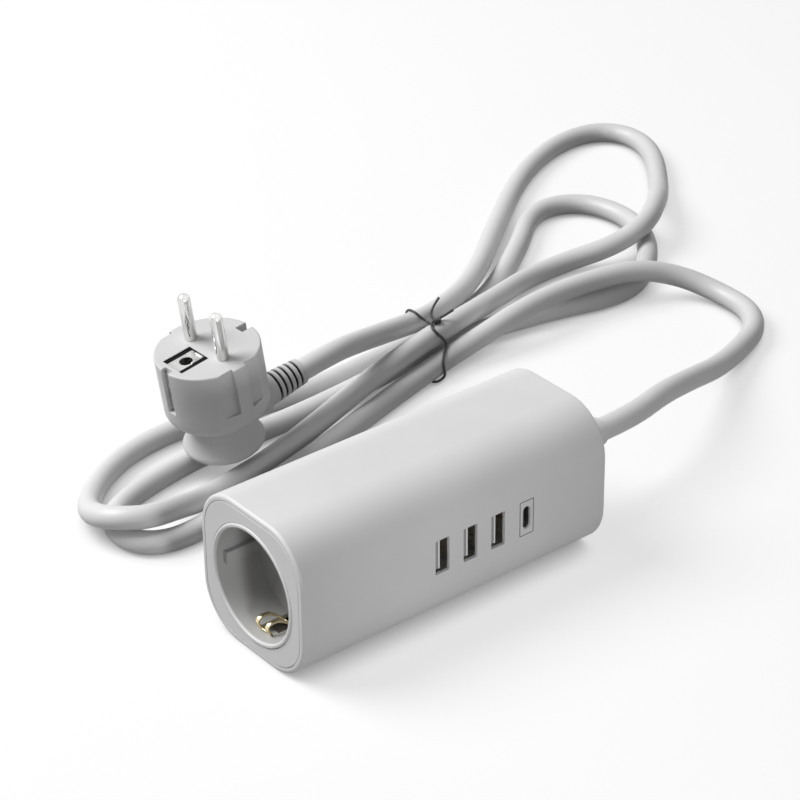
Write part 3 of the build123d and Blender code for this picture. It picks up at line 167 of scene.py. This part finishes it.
def link(name, data):
    """Object in the scene with that mesh or curve."""
    piece = bpy.data.objects.new(name, data)
    bpy.context.scene.collection.objects.link(piece)
    return piece


def make_curve(name, routes, radius, round_steps, along):
    """Round strands along smooth splines whose control points are the routes' points."""
    data = bpy.data.curves.new(name, "CURVE")
    data.dimensions = "3D"
    data.resolution_u = along
    data.bevel_depth = 1.0
    data.bevel_resolution = round_steps
    data.use_fill_caps = True
    for route in routes:
        spline = data.splines.new("NURBS")
        spline.points.add(len(route) - 1)
        for point, place in zip(spline.points, route):
            point.co = (*place, 1.0)
            point.radius = radius
        spline.order_u = 3
        spline.use_endpoint_u = True
    return link(name, data)


make_camera()
power_cord = make_curve("power_cord", [CORD_ROUTE], CORD_DIAMETER / 2, round_steps=10, along=12)
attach(power_cord, "root")
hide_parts("cord")

# Cord tie: a coated wire round the five strands, knotted on top, with two loose tails
TIE_RADIUS = 0.000525
TIE_LOOP = [
    (-0.1115, 0.1020, 0.0192), (-0.1105, 0.1007, 0.0191), (-0.1086, 0.1003, 0.0185),
    (-0.1072, 0.1008, 0.0174), (-0.1066, 0.1023, 0.0158), (-0.1066, 0.1038, 0.0140),
    (-0.1064, 0.1046, 0.0126), (-0.1056, 0.1045, 0.0111), (-0.1041, 0.1026, 0.0109),
    (-0.1026, 0.1007, 0.0104), (-0.1012, 0.0991, 0.0096), (-0.0999, 0.0980, 0.0084),
    (-0.0991, 0.0977, 0.0066), (-0.0989, 0.0981, 0.0045), (-0.0997, 0.0986, 0.0026),
    (-0.0995, 0.0975, 0.0019), (-0.0991, 0.0949, 0.0016), (-0.1002, 0.0932, 0.0015),
    (-0.1023, 0.0939, 0.0010), (-0.1035, 0.0975, 0.0006), (-0.1130, 0.0995, 0.0006),
    (-0.1240, 0.1010, 0.0006), (-0.1285, 0.1016, 0.0015), (-0.1299, 0.1016, 0.0055),
    (-0.1296, 0.1016, 0.0100), (-0.1262, 0.1010, 0.0165), (-0.1256, 0.1003, 0.0192),
    (-0.1235, 0.0999, 0.0213), (-0.1202, 0.1000, 0.0218), (-0.1174, 0.1007, 0.0204),
    (-0.1155, 0.1021, 0.0189), (-0.1121, 0.1017, 0.0191), (-0.1119, 0.1028, 0.0195),
    (-0.1120, 0.1044, 0.0196),
]
TIE_TAIL_UP = [
    (-0.1201, 0.1125, 0.0238), (-0.1202, 0.1108, 0.0221), (-0.1199, 0.1089, 0.0203),
    (-0.1183, 0.1068, 0.0190), (-0.1139, 0.1048, 0.0191), (-0.1123, 0.1039, 0.0198),
]
TIE_TAIL_SIDE = [
    (-0.1111, 0.1122, 0.0221), (-0.1117, 0.1096, 0.0210), (-0.1129, 0.1070, 0.0196),
    (-0.1126, 0.1044, 0.0193), (-0.1119, 0.1032, 0.0193),
]
KNOT_START = Vector((-0.1119, 0.1031, 0.0196))
KNOT_END = Vector((-0.1115, 0.1060, 0.0195))
KNOT_RADIUS = 0.00075
KNOT_TURNS = 2.5
KNOT_STEPS = 20


def knot_turns():
    """Short coil of the tie's wire round its own strands."""
    turns = []
    for step in range(KNOT_STEPS + 1):
        share = step / KNOT_STEPS
        angle = 2 * math.pi * KNOT_TURNS * share
        middle = KNOT_START.lerp(KNOT_END, share)
        turns.append(middle + Vector((math.cos(angle), 0.0, math.sin(angle))) * KNOT_RADIUS)
    return turns


tie_wire = make_curve("tie_wire", [TIE_LOOP, TIE_TAIL_UP, TIE_TAIL_SIDE, knot_turns()], TIE_RADIUS,
                      round_steps=4, along=8)
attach(tie_wire, "root")
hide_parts("cord_tie")

# Small pieces in the plug and the housing
BEVEL_STEPS = 2
SHARP_ANGLE = math.radians(50)
BOX_FACES = ((3, 2, 1, 0), (4, 5, 6, 7), (0, 1, 5, 4), (1, 2, 6, 5), (2, 3, 7, 6), (3, 0, 4, 7))


def make_mesh(name, verts, faces):
    """Mesh piece of those points and faces."""
    data = bpy.data.meshes.new(name)
    data.from_pydata(verts, [], faces)
    data.validate()
    return link(name, data)


def round_edges(piece, width):
    """Rounds the piece's sharp edges."""
    bevel = piece.modifiers.new("rounding", "BEVEL")
    bevel.width = width
    bevel.segments = BEVEL_STEPS
    bevel.limit_method = "ANGLE"
    bevel.angle_limit = SHARP_ANGLE


def add_box(verts, faces, low, high, place=None):
    """Adds a box between two corners, its points put in place by a function where one is given."""
    start = len(verts)
    for z in (low[2], high[2]):
        for x, y in ((low[0], low[1]), (high[0], low[1]), (high[0], high[1]), (low[0], high[1])):
            verts.append(place(x, y, z) if place else Vector((x, y, z)))
    faces += [tuple(start + corner for corner in face) for face in BOX_FACES]


def node_middle(name):
    """Middle of a node's box."""
    low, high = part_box(name)
    return (low + high) / 2


# Earth plate in the plug's frame: the pocket round it, the two slots beside the plate, and the thickness of
# the sheets of painted shade in them
POCKET_MIDDLE = -0.0097
POCKET_HALF = (0.0057, 0.0061)
POCKET_TOP = 0.04285
POCKET_FLOOR = 0.0401
POCKET_OPEN = 0.0040
SHADE_SHEET = 0.00022
PLATE_TOP = 0.0425
SLOT_NEAR = (0.0034, 0.00565)
SLOT_FAR = (-0.00565, -0.0039)


def make_pocket_shade():
    """Painted shade: dark sheets on the pocket's walls, along its floor's edges and in the slots beside the
    plate.
    """
    near, far = POCKET_MIDDLE - POCKET_HALF[1], POCKET_MIDDLE + POCKET_HALF[1]
    verts, faces = [], []
    for side in (-1, 1):
        wide = sorted((side * POCKET_HALF[0], side * (POCKET_HALF[0] - SHADE_SHEET)))
        add_box(verts, faces, (wide[0], near, POCKET_FLOOR), (wide[1], far, POCKET_TOP), on_plug)
        deep = sorted((side * POCKET_HALF[1], side * (POCKET_HALF[1] - SHADE_SHEET)))
        add_box(verts, faces, (-POCKET_HALF[0], POCKET_MIDDLE + deep[0], POCKET_FLOOR),
                (POCKET_HALF[0], POCKET_MIDDLE + deep[1], POCKET_TOP), on_plug)
        strip = sorted((side * POCKET_OPEN, side * POCKET_HALF[0]))
        add_box(verts, faces, (strip[0], near, POCKET_FLOOR), (strip[1], far, POCKET_FLOOR + SHADE_SHEET), on_plug)
    for left, right in (SLOT_NEAR, SLOT_FAR):
        add_box(verts, faces, (left, near, PLATE_TOP), (right, far - SHADE_SHEET, PLATE_TOP + SHADE_SHEET / 2), on_plug)
    return make_mesh("plug_pocket_painted_shade", verts, faces)


pocket_shade = make_pocket_shade()
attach(pocket_shade, "root")

# Lip of the earth plate in the plug's frame: two arms from one corner, and where each of them ends
LIP_TOP = 0.0430
LIP_WIDTH = 0.0008
LIP_CORNER = -0.0040
LIP_END_ACROSS = -0.0008
LIP_END_ALONG = -0.0094
LIP_ROUNDING = 0.00012


def make_plate_lip():
    """Bright turned-up lip of the earth plate, on its sides towards the cord and the right pin."""
    side = SLOT_NEAR[0]
    corner = (side, LIP_CORNER, LIP_TOP)
    verts, faces = [], []
    add_box(verts, faces, (side - LIP_WIDTH, LIP_END_ALONG, PLATE_TOP), corner, on_plug)
    add_box(verts, faces, (LIP_END_ACROSS, LIP_CORNER - LIP_WIDTH, PLATE_TOP), corner, on_plug)
    lip = make_mesh("plug_earth_lip", verts, faces)
    round_edges(lip, LIP_ROUNDING)
    return lip


plate_lip = make_plate_lip()
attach(plate_lip, "root")

# Painted shade in the gaps between the relief's rings
RELIEF_PITCH = 0.0026
RELIEF_GAP = 0.00118
RELIEF_TIP = 0.0051
RELIEF_TAPER = 0.0703
RELIEF_RINGS = 5
RELIEF_SUNK = 0.0007
RELIEF_WALL = 0.0003
ROUND_STEPS = 40


def make_relief_gap_shade():
    """Narrow dark bands of painted shade on the floors of the relief's grooves."""
    verts, faces = [], []
    for ring in range(1, RELIEF_RINGS + 1):
        middle = RELIEF_END - ring * RELIEF_PITCH
        near, far = middle - RELIEF_GAP / 2, middle + RELIEF_GAP / 2
        outer = RELIEF_TIP + RELIEF_TAPER * ring * RELIEF_PITCH - RELIEF_SUNK
        inner = outer - RELIEF_WALL
        section = [(near, inner), (far, inner), (far, outer), (near, outer)]
        corners = len(section)
        start = len(verts)
        for step in range(ROUND_STEPS):
            angle = 2 * math.pi * step / ROUND_STEPS
            across, up = math.cos(angle), math.sin(angle)
            verts += [on_plug(r * across, y, RELIEF_HEIGHT + r * up) for y, r in section]
        for step in range(ROUND_STEPS):
            this = start + corners * step
            after = start + corners * ((step + 1) % ROUND_STEPS)
            for side in range(corners):
                other = (side + 1) % corners
                faces.append((this + side, this + other, after + other, after + side))
    return make_mesh("plug_relief_painted_shade", verts, faces)


relief_gap_shade = make_relief_gap_shade()
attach(relief_gap_shade, "root")

# Earth strap of the socket: the edges of the strip and its windows are places across it
STRAP_EDGES = (-0.0035, -0.0019, 0.0019, 0.0035)
STRAP_THICK = 0.0008
STRAP_STEPS = 12
STRAP_ROUNDING = 0.00018

# One spring clip's line from its front end to the strap, as places along Y and heights off the middle,
# then the steps of it that the window takes
CLIP_PATH = [
    (-0.0600, 0.0209), (-0.0607, 0.0197), (-0.0616, 0.0182), (-0.0619, 0.0170), (-0.0612, 0.0160),
    (-0.0595, 0.0156), (-0.0570, 0.0160), (-0.0542, 0.0178), (-0.0515, 0.0205), (-0.0497, 0.0226),
    (-0.0489, 0.0230), (-0.0459, 0.0230), (-0.0452, 0.0227), (-0.0451, 0.0220),
]
CLIP_OPEN = range(1, 8)
WINDOW_COLUMN = 1


def make_strap():
    """Strap from clip to clip behind the cup, each clip with a window in its rise."""
    middle = node_middle("earth_strap").z
    back, height = CLIP_PATH[-1]
    upper = [(y, middle + z) for y, z in CLIP_PATH]
    lower = [(y, middle - z) for y, z in reversed(CLIP_PATH)]
    between = [(back, middle + height * (1 - 2 * step / STRAP_STEPS)) for step in range(1, STRAP_STEPS)]
    path = upper + between + lower
    last = len(path) - 2
    open_rows = set(CLIP_OPEN) | {last - row for row in CLIP_OPEN}
    verts = [Vector((x, y, z)) for y, z in path for x in STRAP_EDGES]
    faces = []
    columns = len(STRAP_EDGES)
    for row in range(len(path) - 1):
        for column in range(columns - 1):
            if column == WINDOW_COLUMN and row in open_rows:
                continue
            first = row * columns + column
            faces.append((first, first + 1, first + columns + 1, first + columns))
    strap = make_mesh("socket_earth_springs", verts, faces)
    solid = strap.modifiers.new("thickness", "SOLIDIFY")
    solid.thickness = STRAP_THICK
    solid.offset = 0.0
    solid.use_even_offset = True
    round_edges(strap, STRAP_ROUNDING)
    strap.data.shade_smooth()
    strap.data.set_sharp_from_angle(angle=SHARP_ANGLE)
    return strap


earth_springs = make_strap()
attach(earth_springs, "root")
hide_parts("earth_strap")

# Large ports: the tips of their tongues, as places off the middle of each port
PORT_COUNT = 3
TIP_THICK = 0.0003
TIP_EDGES = (-0.00075, -0.0001)
TIP_HALF = 0.00555
TIP_ROUNDING = 0.0001


def make_tongue_tips():
    """Pale end of each large port's tongue."""
    verts, faces = [], []
    for number in range(1, PORT_COUNT + 1):
        core = f"usb_a_core_{number}"
        middle = node_middle(core)
        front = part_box(core)[1].x
        low = (front, middle.y + TIP_EDGES[0], middle.z - TIP_HALF)
        high = (front + TIP_THICK, middle.y + TIP_EDGES[1], middle.z + TIP_HALF)
        add_box(verts, faces, low, high)
    tips = make_mesh("usb_a_tongue_tips", verts, faces)
    round_edges(tips, TIP_ROUNDING)
    return tips


tongue_tips = make_tongue_tips()
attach(tongue_tips, "root")

# Painted shade in the seam round the small port's bezel: half sizes of its edges, and its depth in the
# housing's side
SEAM_OUTER = (0.00315, 0.0069)
SEAM_INNER = (0.00277, 0.00652)
SEAM_ROUND = 0.0006
SEAM_DEPTH = 0.0003
SEAM_PROUD = 0.00001
CORNER_STEPS = 5


def rounded_ring(half, corner):
    """Points round a rounded rectangle of those half sizes."""
    points = []
    for turn, (across, up) in enumerate(((1, 1), (-1, 1), (-1, -1), (1, -1))):
        for step in range(CORNER_STEPS + 1):
            angle = math.pi / 2 * (turn + step / CORNER_STEPS)
            points.append((across * (half[0] - corner) + corner * math.cos(angle),
                           up * (half[1] - corner) + corner * math.sin(angle)))
    return points


def make_seam():
    """Thin dark ring of painted shade in the seam between the bezel and the housing."""
    middle = node_middle("usb_c_bezel")
    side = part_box("usb_c_bezel")[1].x
    outer = rounded_ring(SEAM_OUTER, SEAM_ROUND)
    inner = rounded_ring(SEAM_INNER, SEAM_ROUND - SEAM_OUTER[0] + SEAM_INNER[0])
    verts = [(depth, middle.y + y, middle.z + z) for depth in (side - SEAM_DEPTH, side + SEAM_PROUD)
             for ring in (outer, inner) for y, z in ring]
    count = len(outer)
    faces = []
    for step in range(count):
        after = (step + 1) % count
        low_out, low_in, top_out, top_in = 0, count, 2 * count, 3 * count
        faces += [(top_out + step, top_out + after, top_in + after, top_in + step),
                  (low_in + step, low_in + after, low_out + after, low_out + step),
                  (low_out + step, low_out + after, top_out + after, top_out + step),
                  (top_in + step, top_in + after, low_in + after, low_in + step)]
    return make_mesh("usb_c_seam", verts, faces)


bezel_seam = make_seam()
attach(bezel_seam, "root")

# Materials: the part of a noise factor that is spread out, scales in waves per metre, depths in metres
NOISE_LOW = 0.3
NOISE_HIGH = 0.7
DRIFT_SCALE = 26.0
GLOSS_SCALE = 190.0
GLOSS_RANGE = 0.05
WAVE_SCALE = 70.0
WAVE_DEPTH = 0.00012
GRAIN_SCALE = 2600.0
GRAIN_DEPTH = 0.00002
DRAWN_SCALE = 900.0
DRAWN_DEPTH = 0.00001
TRACK_SCALE = 210.0
TRACK_DEPTH = 0.00004
TAPE_SCALE = 130.0
TAPE_DEPTH = 0.00008
GLASS_DEPTH = 0.00005

# Places along Y between which the recess's painted shade sets in
RECESS_RIM = -0.0656
RECESS_SHADE = -0.0644


class Shader:
    """Node tree of one material, with short calls for the nodes that the materials share."""

    def __init__(self, name):
        self.material = bpy.data.materials.new(name)
        self.material.use_nodes = True
        self.tree = self.material.node_tree
        self.surface = self.tree.nodes["Principled BSDF"]
        self.place = self.tree.nodes.new("ShaderNodeTexCoord").outputs["Object"]

    def add(self, kind, **values):
        """Node of that kind with its plain properties set."""
        node = self.tree.nodes.new(kind)
        for key, value in values.items():
            setattr(node, key, value)
        return node

    def wire(self, output, target):
        """Joins an output to an input."""
        self.tree.links.new(output, target)

    def noise(self, scale, detail=3.0, rough=0.5, stretch=None):
        """Noise over the object, as a factor from 0 to 1."""
        node = self.add("ShaderNodeTexNoise")
        node.inputs["Scale"].default_value = scale
        node.inputs["Detail"].default_value = detail
        node.inputs["Roughness"].default_value = rough
        place = self.place
        if stretch:
            mapping = self.add("ShaderNodeMapping")
            mapping.inputs["Scale"].default_value = stretch
            self.wire(place, mapping.inputs["Vector"])
            place = mapping.outputs["Vector"]
        self.wire(place, node.inputs["Vector"])
        return node.outputs["Fac"]

    def roughen(self, factor, low, high):
        """Roughness of the surface between two, by the middle of a noise factor."""
        node = self.add("ShaderNodeMapRange")
        node.inputs["From Min"].default_value = NOISE_LOW
        node.inputs["From Max"].default_value = NOISE_HIGH
        node.inputs["To Min"].default_value = low
        node.inputs["To Max"].default_value = high
        self.wire(factor, node.inputs["Value"])
        self.wire(node.outputs["Result"], self.surface.inputs["Roughness"])

    def tint(self, factor, first, second):
        """Colour of the surface between two, by the middle of a factor."""
        ramp = self.add("ShaderNodeValToRGB")
        ramp.color_ramp.elements[0].position = NOISE_LOW
        ramp.color_ramp.elements[1].position = NOISE_HIGH
        ramp.color_ramp.elements[0].color = (*first, 1.0)
        ramp.color_ramp.elements[1].color = (*second, 1.0)
        self.wire(factor, ramp.inputs["Fac"])
        self.wire(ramp.outputs["Color"], self.surface.inputs["Base Color"])

    def bump(self, height, distance, strength, under=None):
        """Bump from a height factor, in metres, on top of another bump where one is given."""
        node = self.add("ShaderNodeBump")
        node.inputs["Distance"].default_value = distance
        node.inputs["Strength"].default_value = strength
        self.wire(height, node.inputs["Height"])
        if under is not None:
            self.wire(under, node.inputs["Normal"])
        self.wire(node.outputs["Normal"], self.surface.inputs["Normal"])
        return node.outputs["Normal"]

    def set(self, **values):
        """Plain values on the surface's own sockets."""
        for key, value in values.items():
            self.surface.inputs[key.replace("_", " ")].default_value = value


def grey(level):
    """Neutral colour of that level."""
    return (level, level, level)


def plastic(name, colour, roughness, grain=GRAIN_SCALE, depth=GRAIN_DEPTH, drift=0.03, specular=0.5):
    """Moulded plastic: fine grain, slow drift in tone and slightly uneven gloss."""
    shader = Shader(name)
    low = [c * (1 - drift) for c in colour]
    high = [c * (1 + drift) for c in colour]
    shader.tint(shader.noise(DRIFT_SCALE, detail=4.0), low, high)
    shader.roughen(shader.noise(GLOSS_SCALE, detail=5.0), roughness - GLOSS_RANGE, roughness + GLOSS_RANGE)
    waves = shader.bump(shader.noise(WAVE_SCALE, detail=2.0), WAVE_DEPTH, strength=0.35)
    shader.bump(shader.noise(grain, rough=0.6), depth, strength=0.6, under=waves)
    shader.set(Specular_IOR_Level=specular)
    return shader.material


def plastic_with_painted_recess_shade(name, front, deep):
    """Moulded plastic with painted shade: its colour darkens from the rim into the recess."""
    shader = Shader(name)
    split = shader.add("ShaderNodeSeparateXYZ")
    shader.wire(shader.place, split.inputs["Vector"])
    # Painted shade: the colour falls from the front grey to the deep grey behind the rim
    depth = shader.add("ShaderNodeMapRange", interpolation_type="SMOOTHSTEP")
    depth.inputs["From Min"].default_value = RECESS_RIM
    depth.inputs["From Max"].default_value = RECESS_SHADE
    shader.wire(split.outputs["Y"], depth.inputs["Value"])
    shader.tint(depth.outputs["Result"], front, deep)
    shader.roughen(shader.noise(GLOSS_SCALE, detail=5.0), 0.42, 0.52)
    shader.bump(shader.noise(GRAIN_SCALE, rough=0.6), GRAIN_DEPTH, strength=0.6)
    return shader.material


def metal(name, colour, roughness, stretch, depth=DRAWN_DEPTH, dull=0.86, patch=150.0):
    """Metal with fine drawn marks and a little tarnish; the pins' stronger dark streaks are partly painted
    reflection.
    """
    shader = Shader(name)
    low = [c * dull for c in colour]
    shader.tint(shader.noise(patch, detail=5.0, stretch=stretch), low, colour)
    marks = shader.noise(DRAWN_SCALE / 4, detail=4.0, rough=0.6, stretch=stretch)
    shader.roughen(marks, roughness * 0.7, roughness * 1.4)
    shader.bump(shader.noise(DRAWN_SCALE, rough=0.6, stretch=stretch), depth, strength=0.5)
    shader.set(Metallic=1.0)
    return shader.material


def circuit_board(name):
    """Green solder mask over faint copper tracks."""
    shader = Shader(name)
    tracks = shader.add("ShaderNodeTexBrick")
    tracks.inputs["Scale"].default_value = TRACK_SCALE
    tracks.inputs["Mortar Size"].default_value = 0.05
    tracks.inputs["Mortar Smooth"].default_value = 0.1
    tracks.inputs["Color1"].default_value = (0.012, 0.115, 0.045, 1.0)
    tracks.inputs["Color2"].default_value = (0.016, 0.135, 0.055, 1.0)
    tracks.inputs["Mortar"].default_value = (0.035, 0.21, 0.09, 1.0)
    shader.wire(shader.place, tracks.inputs["Vector"])
    shader.wire(tracks.outputs["Color"], shader.surface.inputs["Base Color"])
    shader.roughen(shader.noise(300.0, detail=4.0), 0.25, 0.4)
    relief = shader.bump(tracks.outputs["Fac"], TRACK_DEPTH, strength=0.6)
    shader.bump(shader.noise(1400.0), 0.00001, strength=0.4, under=relief)
    return shader.material


def wound_tape(name):
    """Yellow film tape in flat turns."""
    shader = Shader(name)
    turns = shader.add("ShaderNodeTexWave", wave_type="BANDS", bands_direction="Z")
    turns.inputs["Scale"].default_value = TAPE_SCALE
    turns.inputs["Distortion"].default_value = 1.2
    shader.wire(shader.place, turns.inputs["Vector"])
    shader.tint(shader.noise(60.0), (0.62, 0.40, 0.03), (0.72, 0.48, 0.05))
    shader.roughen(shader.noise(220.0), 0.22, 0.38)
    shader.bump(turns.outputs["Fac"], TAPE_DEPTH, strength=0.5)
    return shader.material


def clear_glass(name):
    """Slightly wavy glass tube."""
    shader = Shader(name)
    shader.roughen(shader.noise(90.0), 0.02, 0.08)
    shader.bump(shader.noise(120.0, detail=2.0), GLASS_DEPTH, strength=0.4)
    shader.set(Base_Color=(0.93, 0.97, 0.96, 1.0), Transmission_Weight=0.9, IOR=1.5)
    return shader.material


MATERIALS = {
    "housing": plastic("housing_plastic", grey(0.72), 0.46),
    "insulator": plastic("black_moulding", grey(0.028), 0.5, grain=2000.0, drift=0.12),
    "steel": metal("drawn_steel", (0.62, 0.62, 0.61), 0.28, (0.08, 1.0, 1.0)),
    "brass": metal("spring_brass", (0.78, 0.57, 0.26), 0.3, (1.0, 0.2, 1.0)),
    "board": circuit_board("solder_mask"),
    "component": plastic("moulding_compound", grey(0.035), 0.38, grain=1500.0, drift=0.2),
    "ferrite": plastic("sintered_ferrite", grey(0.075), 0.62, grain=1100.0, depth=0.00006, drift=0.15),
    "tape": wound_tape("winding_tape"),
    "fuse": clear_glass("fuse_glass"),
    "alloy": metal("extruded_alloy", (0.78, 0.78, 0.79), 0.34, (1.0, 1.0, 0.06)),
    "cord": plastic("cord_jacket", grey(0.71), 0.42, grain=1700.0, depth=0.00004, drift=0.025),
    # Plated pins: their dark streaks along the pin are partly tarnish and partly painted reflection
    "pin": metal("plated_pin", (0.95, 0.95, 0.94), 0.12, (1.0, 1.0, 0.12), depth=0.000003, dull=0.5,
                 patch=420.0),
    "live": plastic("brown_insulation", (0.16, 0.055, 0.022), 0.36, drift=0.08),
    "neutral": plastic("blue_insulation", (0.02, 0.09, 0.36), 0.36, drift=0.08),
    "earth": plastic("green_insulation", (0.16, 0.36, 0.03), 0.36, drift=0.08),
    "tie": plastic("tie_coating", grey(0.016), 0.33, grain=1500.0, drift=0.15),
}


def paint(piece, material):
    """Gives the piece that one material."""
    piece.data.materials.clear()
    piece.data.materials.append(material)


PLUG_RUBBER = plastic("plug_moulding", grey(0.60), 0.45, grain=1900.0, depth=0.00003, drift=0.025)
TONGUE_PLASTIC = plastic("port_tongue", grey(0.85), 0.4, grain=1500.0, drift=0.03)
SEAM_SHADE = plastic("seam_shade", grey(0.16), 0.7, drift=0.1)
DEEP_SHADE = plastic("deep_shade", grey(0.008), 0.85, drift=0.1, specular=0.1)
# Pale moulding of the large ports, painted darker as shade inside the ports
PORT_SHADED_MOULDING = plastic("port_moulding_painted_shade", grey(0.32), 0.5, grain=1500.0, drift=0.08)
# Housing plastic with painted shade darkening the socket's recess
RECESS_PAINTED_SHADE = plastic_with_painted_recess_shade("plastic_with_painted_recess_shade", grey(0.72), grey(0.46))
CLIP_BRASS = metal("pale_brass", (0.86, 0.74, 0.46), 0.22, (1.0, 0.2, 1.0))

for subpart in frame["record"]["subparts"]:
    paint(nodes[subpart["node"]], MATERIALS[subpart["material_slot"]])
paint(nodes["plug_body"], PLUG_RUBBER)
paint(nodes["socket_cup"], RECESS_PAINTED_SHADE)
for number in range(1, PORT_COUNT + 1):
    paint(nodes[f"usb_a_core_{number}"], PORT_SHADED_MOULDING)
paint(power_cord, MATERIALS["cord"])
paint(tie_wire, MATERIALS["tie"])
paint(pocket_shade, DEEP_SHADE)
paint(relief_gap_shade, DEEP_SHADE)
paint(plate_lip, MATERIALS["steel"])
paint(tongue_tips, TONGUE_PLASTIC)
paint(bezel_seam, SEAM_SHADE)
paint(earth_springs, CLIP_BRASS)


def seen_ray(tree):
    """Factor of 1 where the camera, a reflection or glass looks at the surface, else 0."""
    path = tree.nodes.new("ShaderNodeLightPath")
    seen = path.outputs["Is Camera Ray"]
    for kind in ("Is Glossy Ray", "Is Transmission Ray"):
        most = tree.nodes.new("ShaderNodeMath")
        most.operation = "MAXIMUM"
        tree.links.new(seen, most.inputs[0])
        tree.links.new(path.outputs[kind], most.inputs[1])
        seen = most.outputs[0]
    return seen


def make_floor():
    """Pale floor: near white to the lens with the object's shadow on it, darker for bounced light."""
    half = FLOOR_HALF
    corners = [(-half, -half, 0), (half, -half, 0), (half, half, 0), (-half, half, 0)]
    floor = make_mesh("floor", corners, [(0, 1, 2, 3)])
    shader = Shader("studio_floor")
    shader.tint(shader.noise(3.0), grey(FLOOR_GREY - FLOOR_DRIFT), grey(FLOOR_GREY + FLOOR_DRIFT))
    shader.roughen(shader.noise(30.0), 0.75, 0.9)
    shader.set(Specular_IOR_Level=0.0)
    # Painted contact shade: the floor's glow dims where nearby parts close off its open sides
    open_sides = shader.add("ShaderNodeAmbientOcclusion", samples=CONTACT_SAMPLES)
    open_sides.inputs["Distance"].default_value = CONTACT_REACH
    contact = shader.add("ShaderNodeMapRange")
    contact.inputs["From Min"].default_value = CONTACT_CLOSED
    contact.inputs["From Max"].default_value = CONTACT_OPEN
    contact.inputs["To Min"].default_value = CONTACT_SHADE
    shader.wire(open_sides.outputs["AO"], contact.inputs["Value"])
    glow = shader.add("ShaderNodeEmission")
    shader.wire(contact.outputs["Result"], glow.inputs["Strength"])
    pale = shader.add("ShaderNodeMixShader")
    pale.inputs["Fac"].default_value = FLOOR_GLOW
    shader.wire(shader.surface.outputs["BSDF"], pale.inputs[1])
    shader.wire(glow.outputs["Emission"], pale.inputs[2])
    bounce = shader.add("ShaderNodeBsdfDiffuse")
    bounce.inputs["Color"].default_value = (*grey(FLOOR_BOUNCE), 1.0)
    both = shader.add("ShaderNodeMixShader")
    shader.wire(seen_ray(shader.tree), both.inputs["Fac"])
    shader.wire(bounce.outputs["BSDF"], both.inputs[1])
    shader.wire(pale.outputs["Shader"], both.inputs[2])
    shader.wire(both.outputs["Shader"], shader.tree.nodes["Material Output"].inputs["Surface"])
    paint(floor, shader.material)


def make_sky():
    """White to the lens and in reflections, a plain level for light."""
    world = bpy.data.worlds.new("studio")
    world.use_nodes = True
    bpy.context.scene.world = world
    tree = world.node_tree
    background = tree.nodes["Background"]
    background.inputs["Color"].default_value = (1.0, 1.0, 1.0, 1.0)
    strength = tree.nodes.new("ShaderNodeMapRange")
    strength.inputs["To Min"].default_value = SKY_STRENGTH
    strength.inputs["To Max"].default_value = 1.0
    tree.links.new(seen_ray(tree), strength.inputs["Value"])
    tree.links.new(strength.outputs["Result"], background.inputs["Strength"])


def make_lamp(name, kind, place, target, size, power):
    """Soft lamp that shines from its place to a target."""
    data = bpy.data.lights.new(name, kind)
    data.energy = power
    if kind == "AREA":
        data.shape = "DISK"
        data.size = size
    else:
        data.shadow_soft_size = size
        data.spot_size = math.radians(FILL_CONE)
        data.spot_blend = FILL_BLEND
    lamp = link(name, data)
    lamp.location = place
    lamp.rotation_euler = (Vector(place) - Vector(target)).to_track_quat("Z", "Y").to_euler()
    lamp.visible_camera = False


make_floor()
make_sky()
make_lamp("key_lamp", "AREA", KEY_PLACE, KEY_TARGET, KEY_SIZE, KEY_POWER)
make_lamp("fill_lamp", "SPOT", FILL_PLACE, FILL_TARGET, FILL_SIZE, FILL_POWER)

bpy.context.scene.view_settings.view_transform = "Standard"
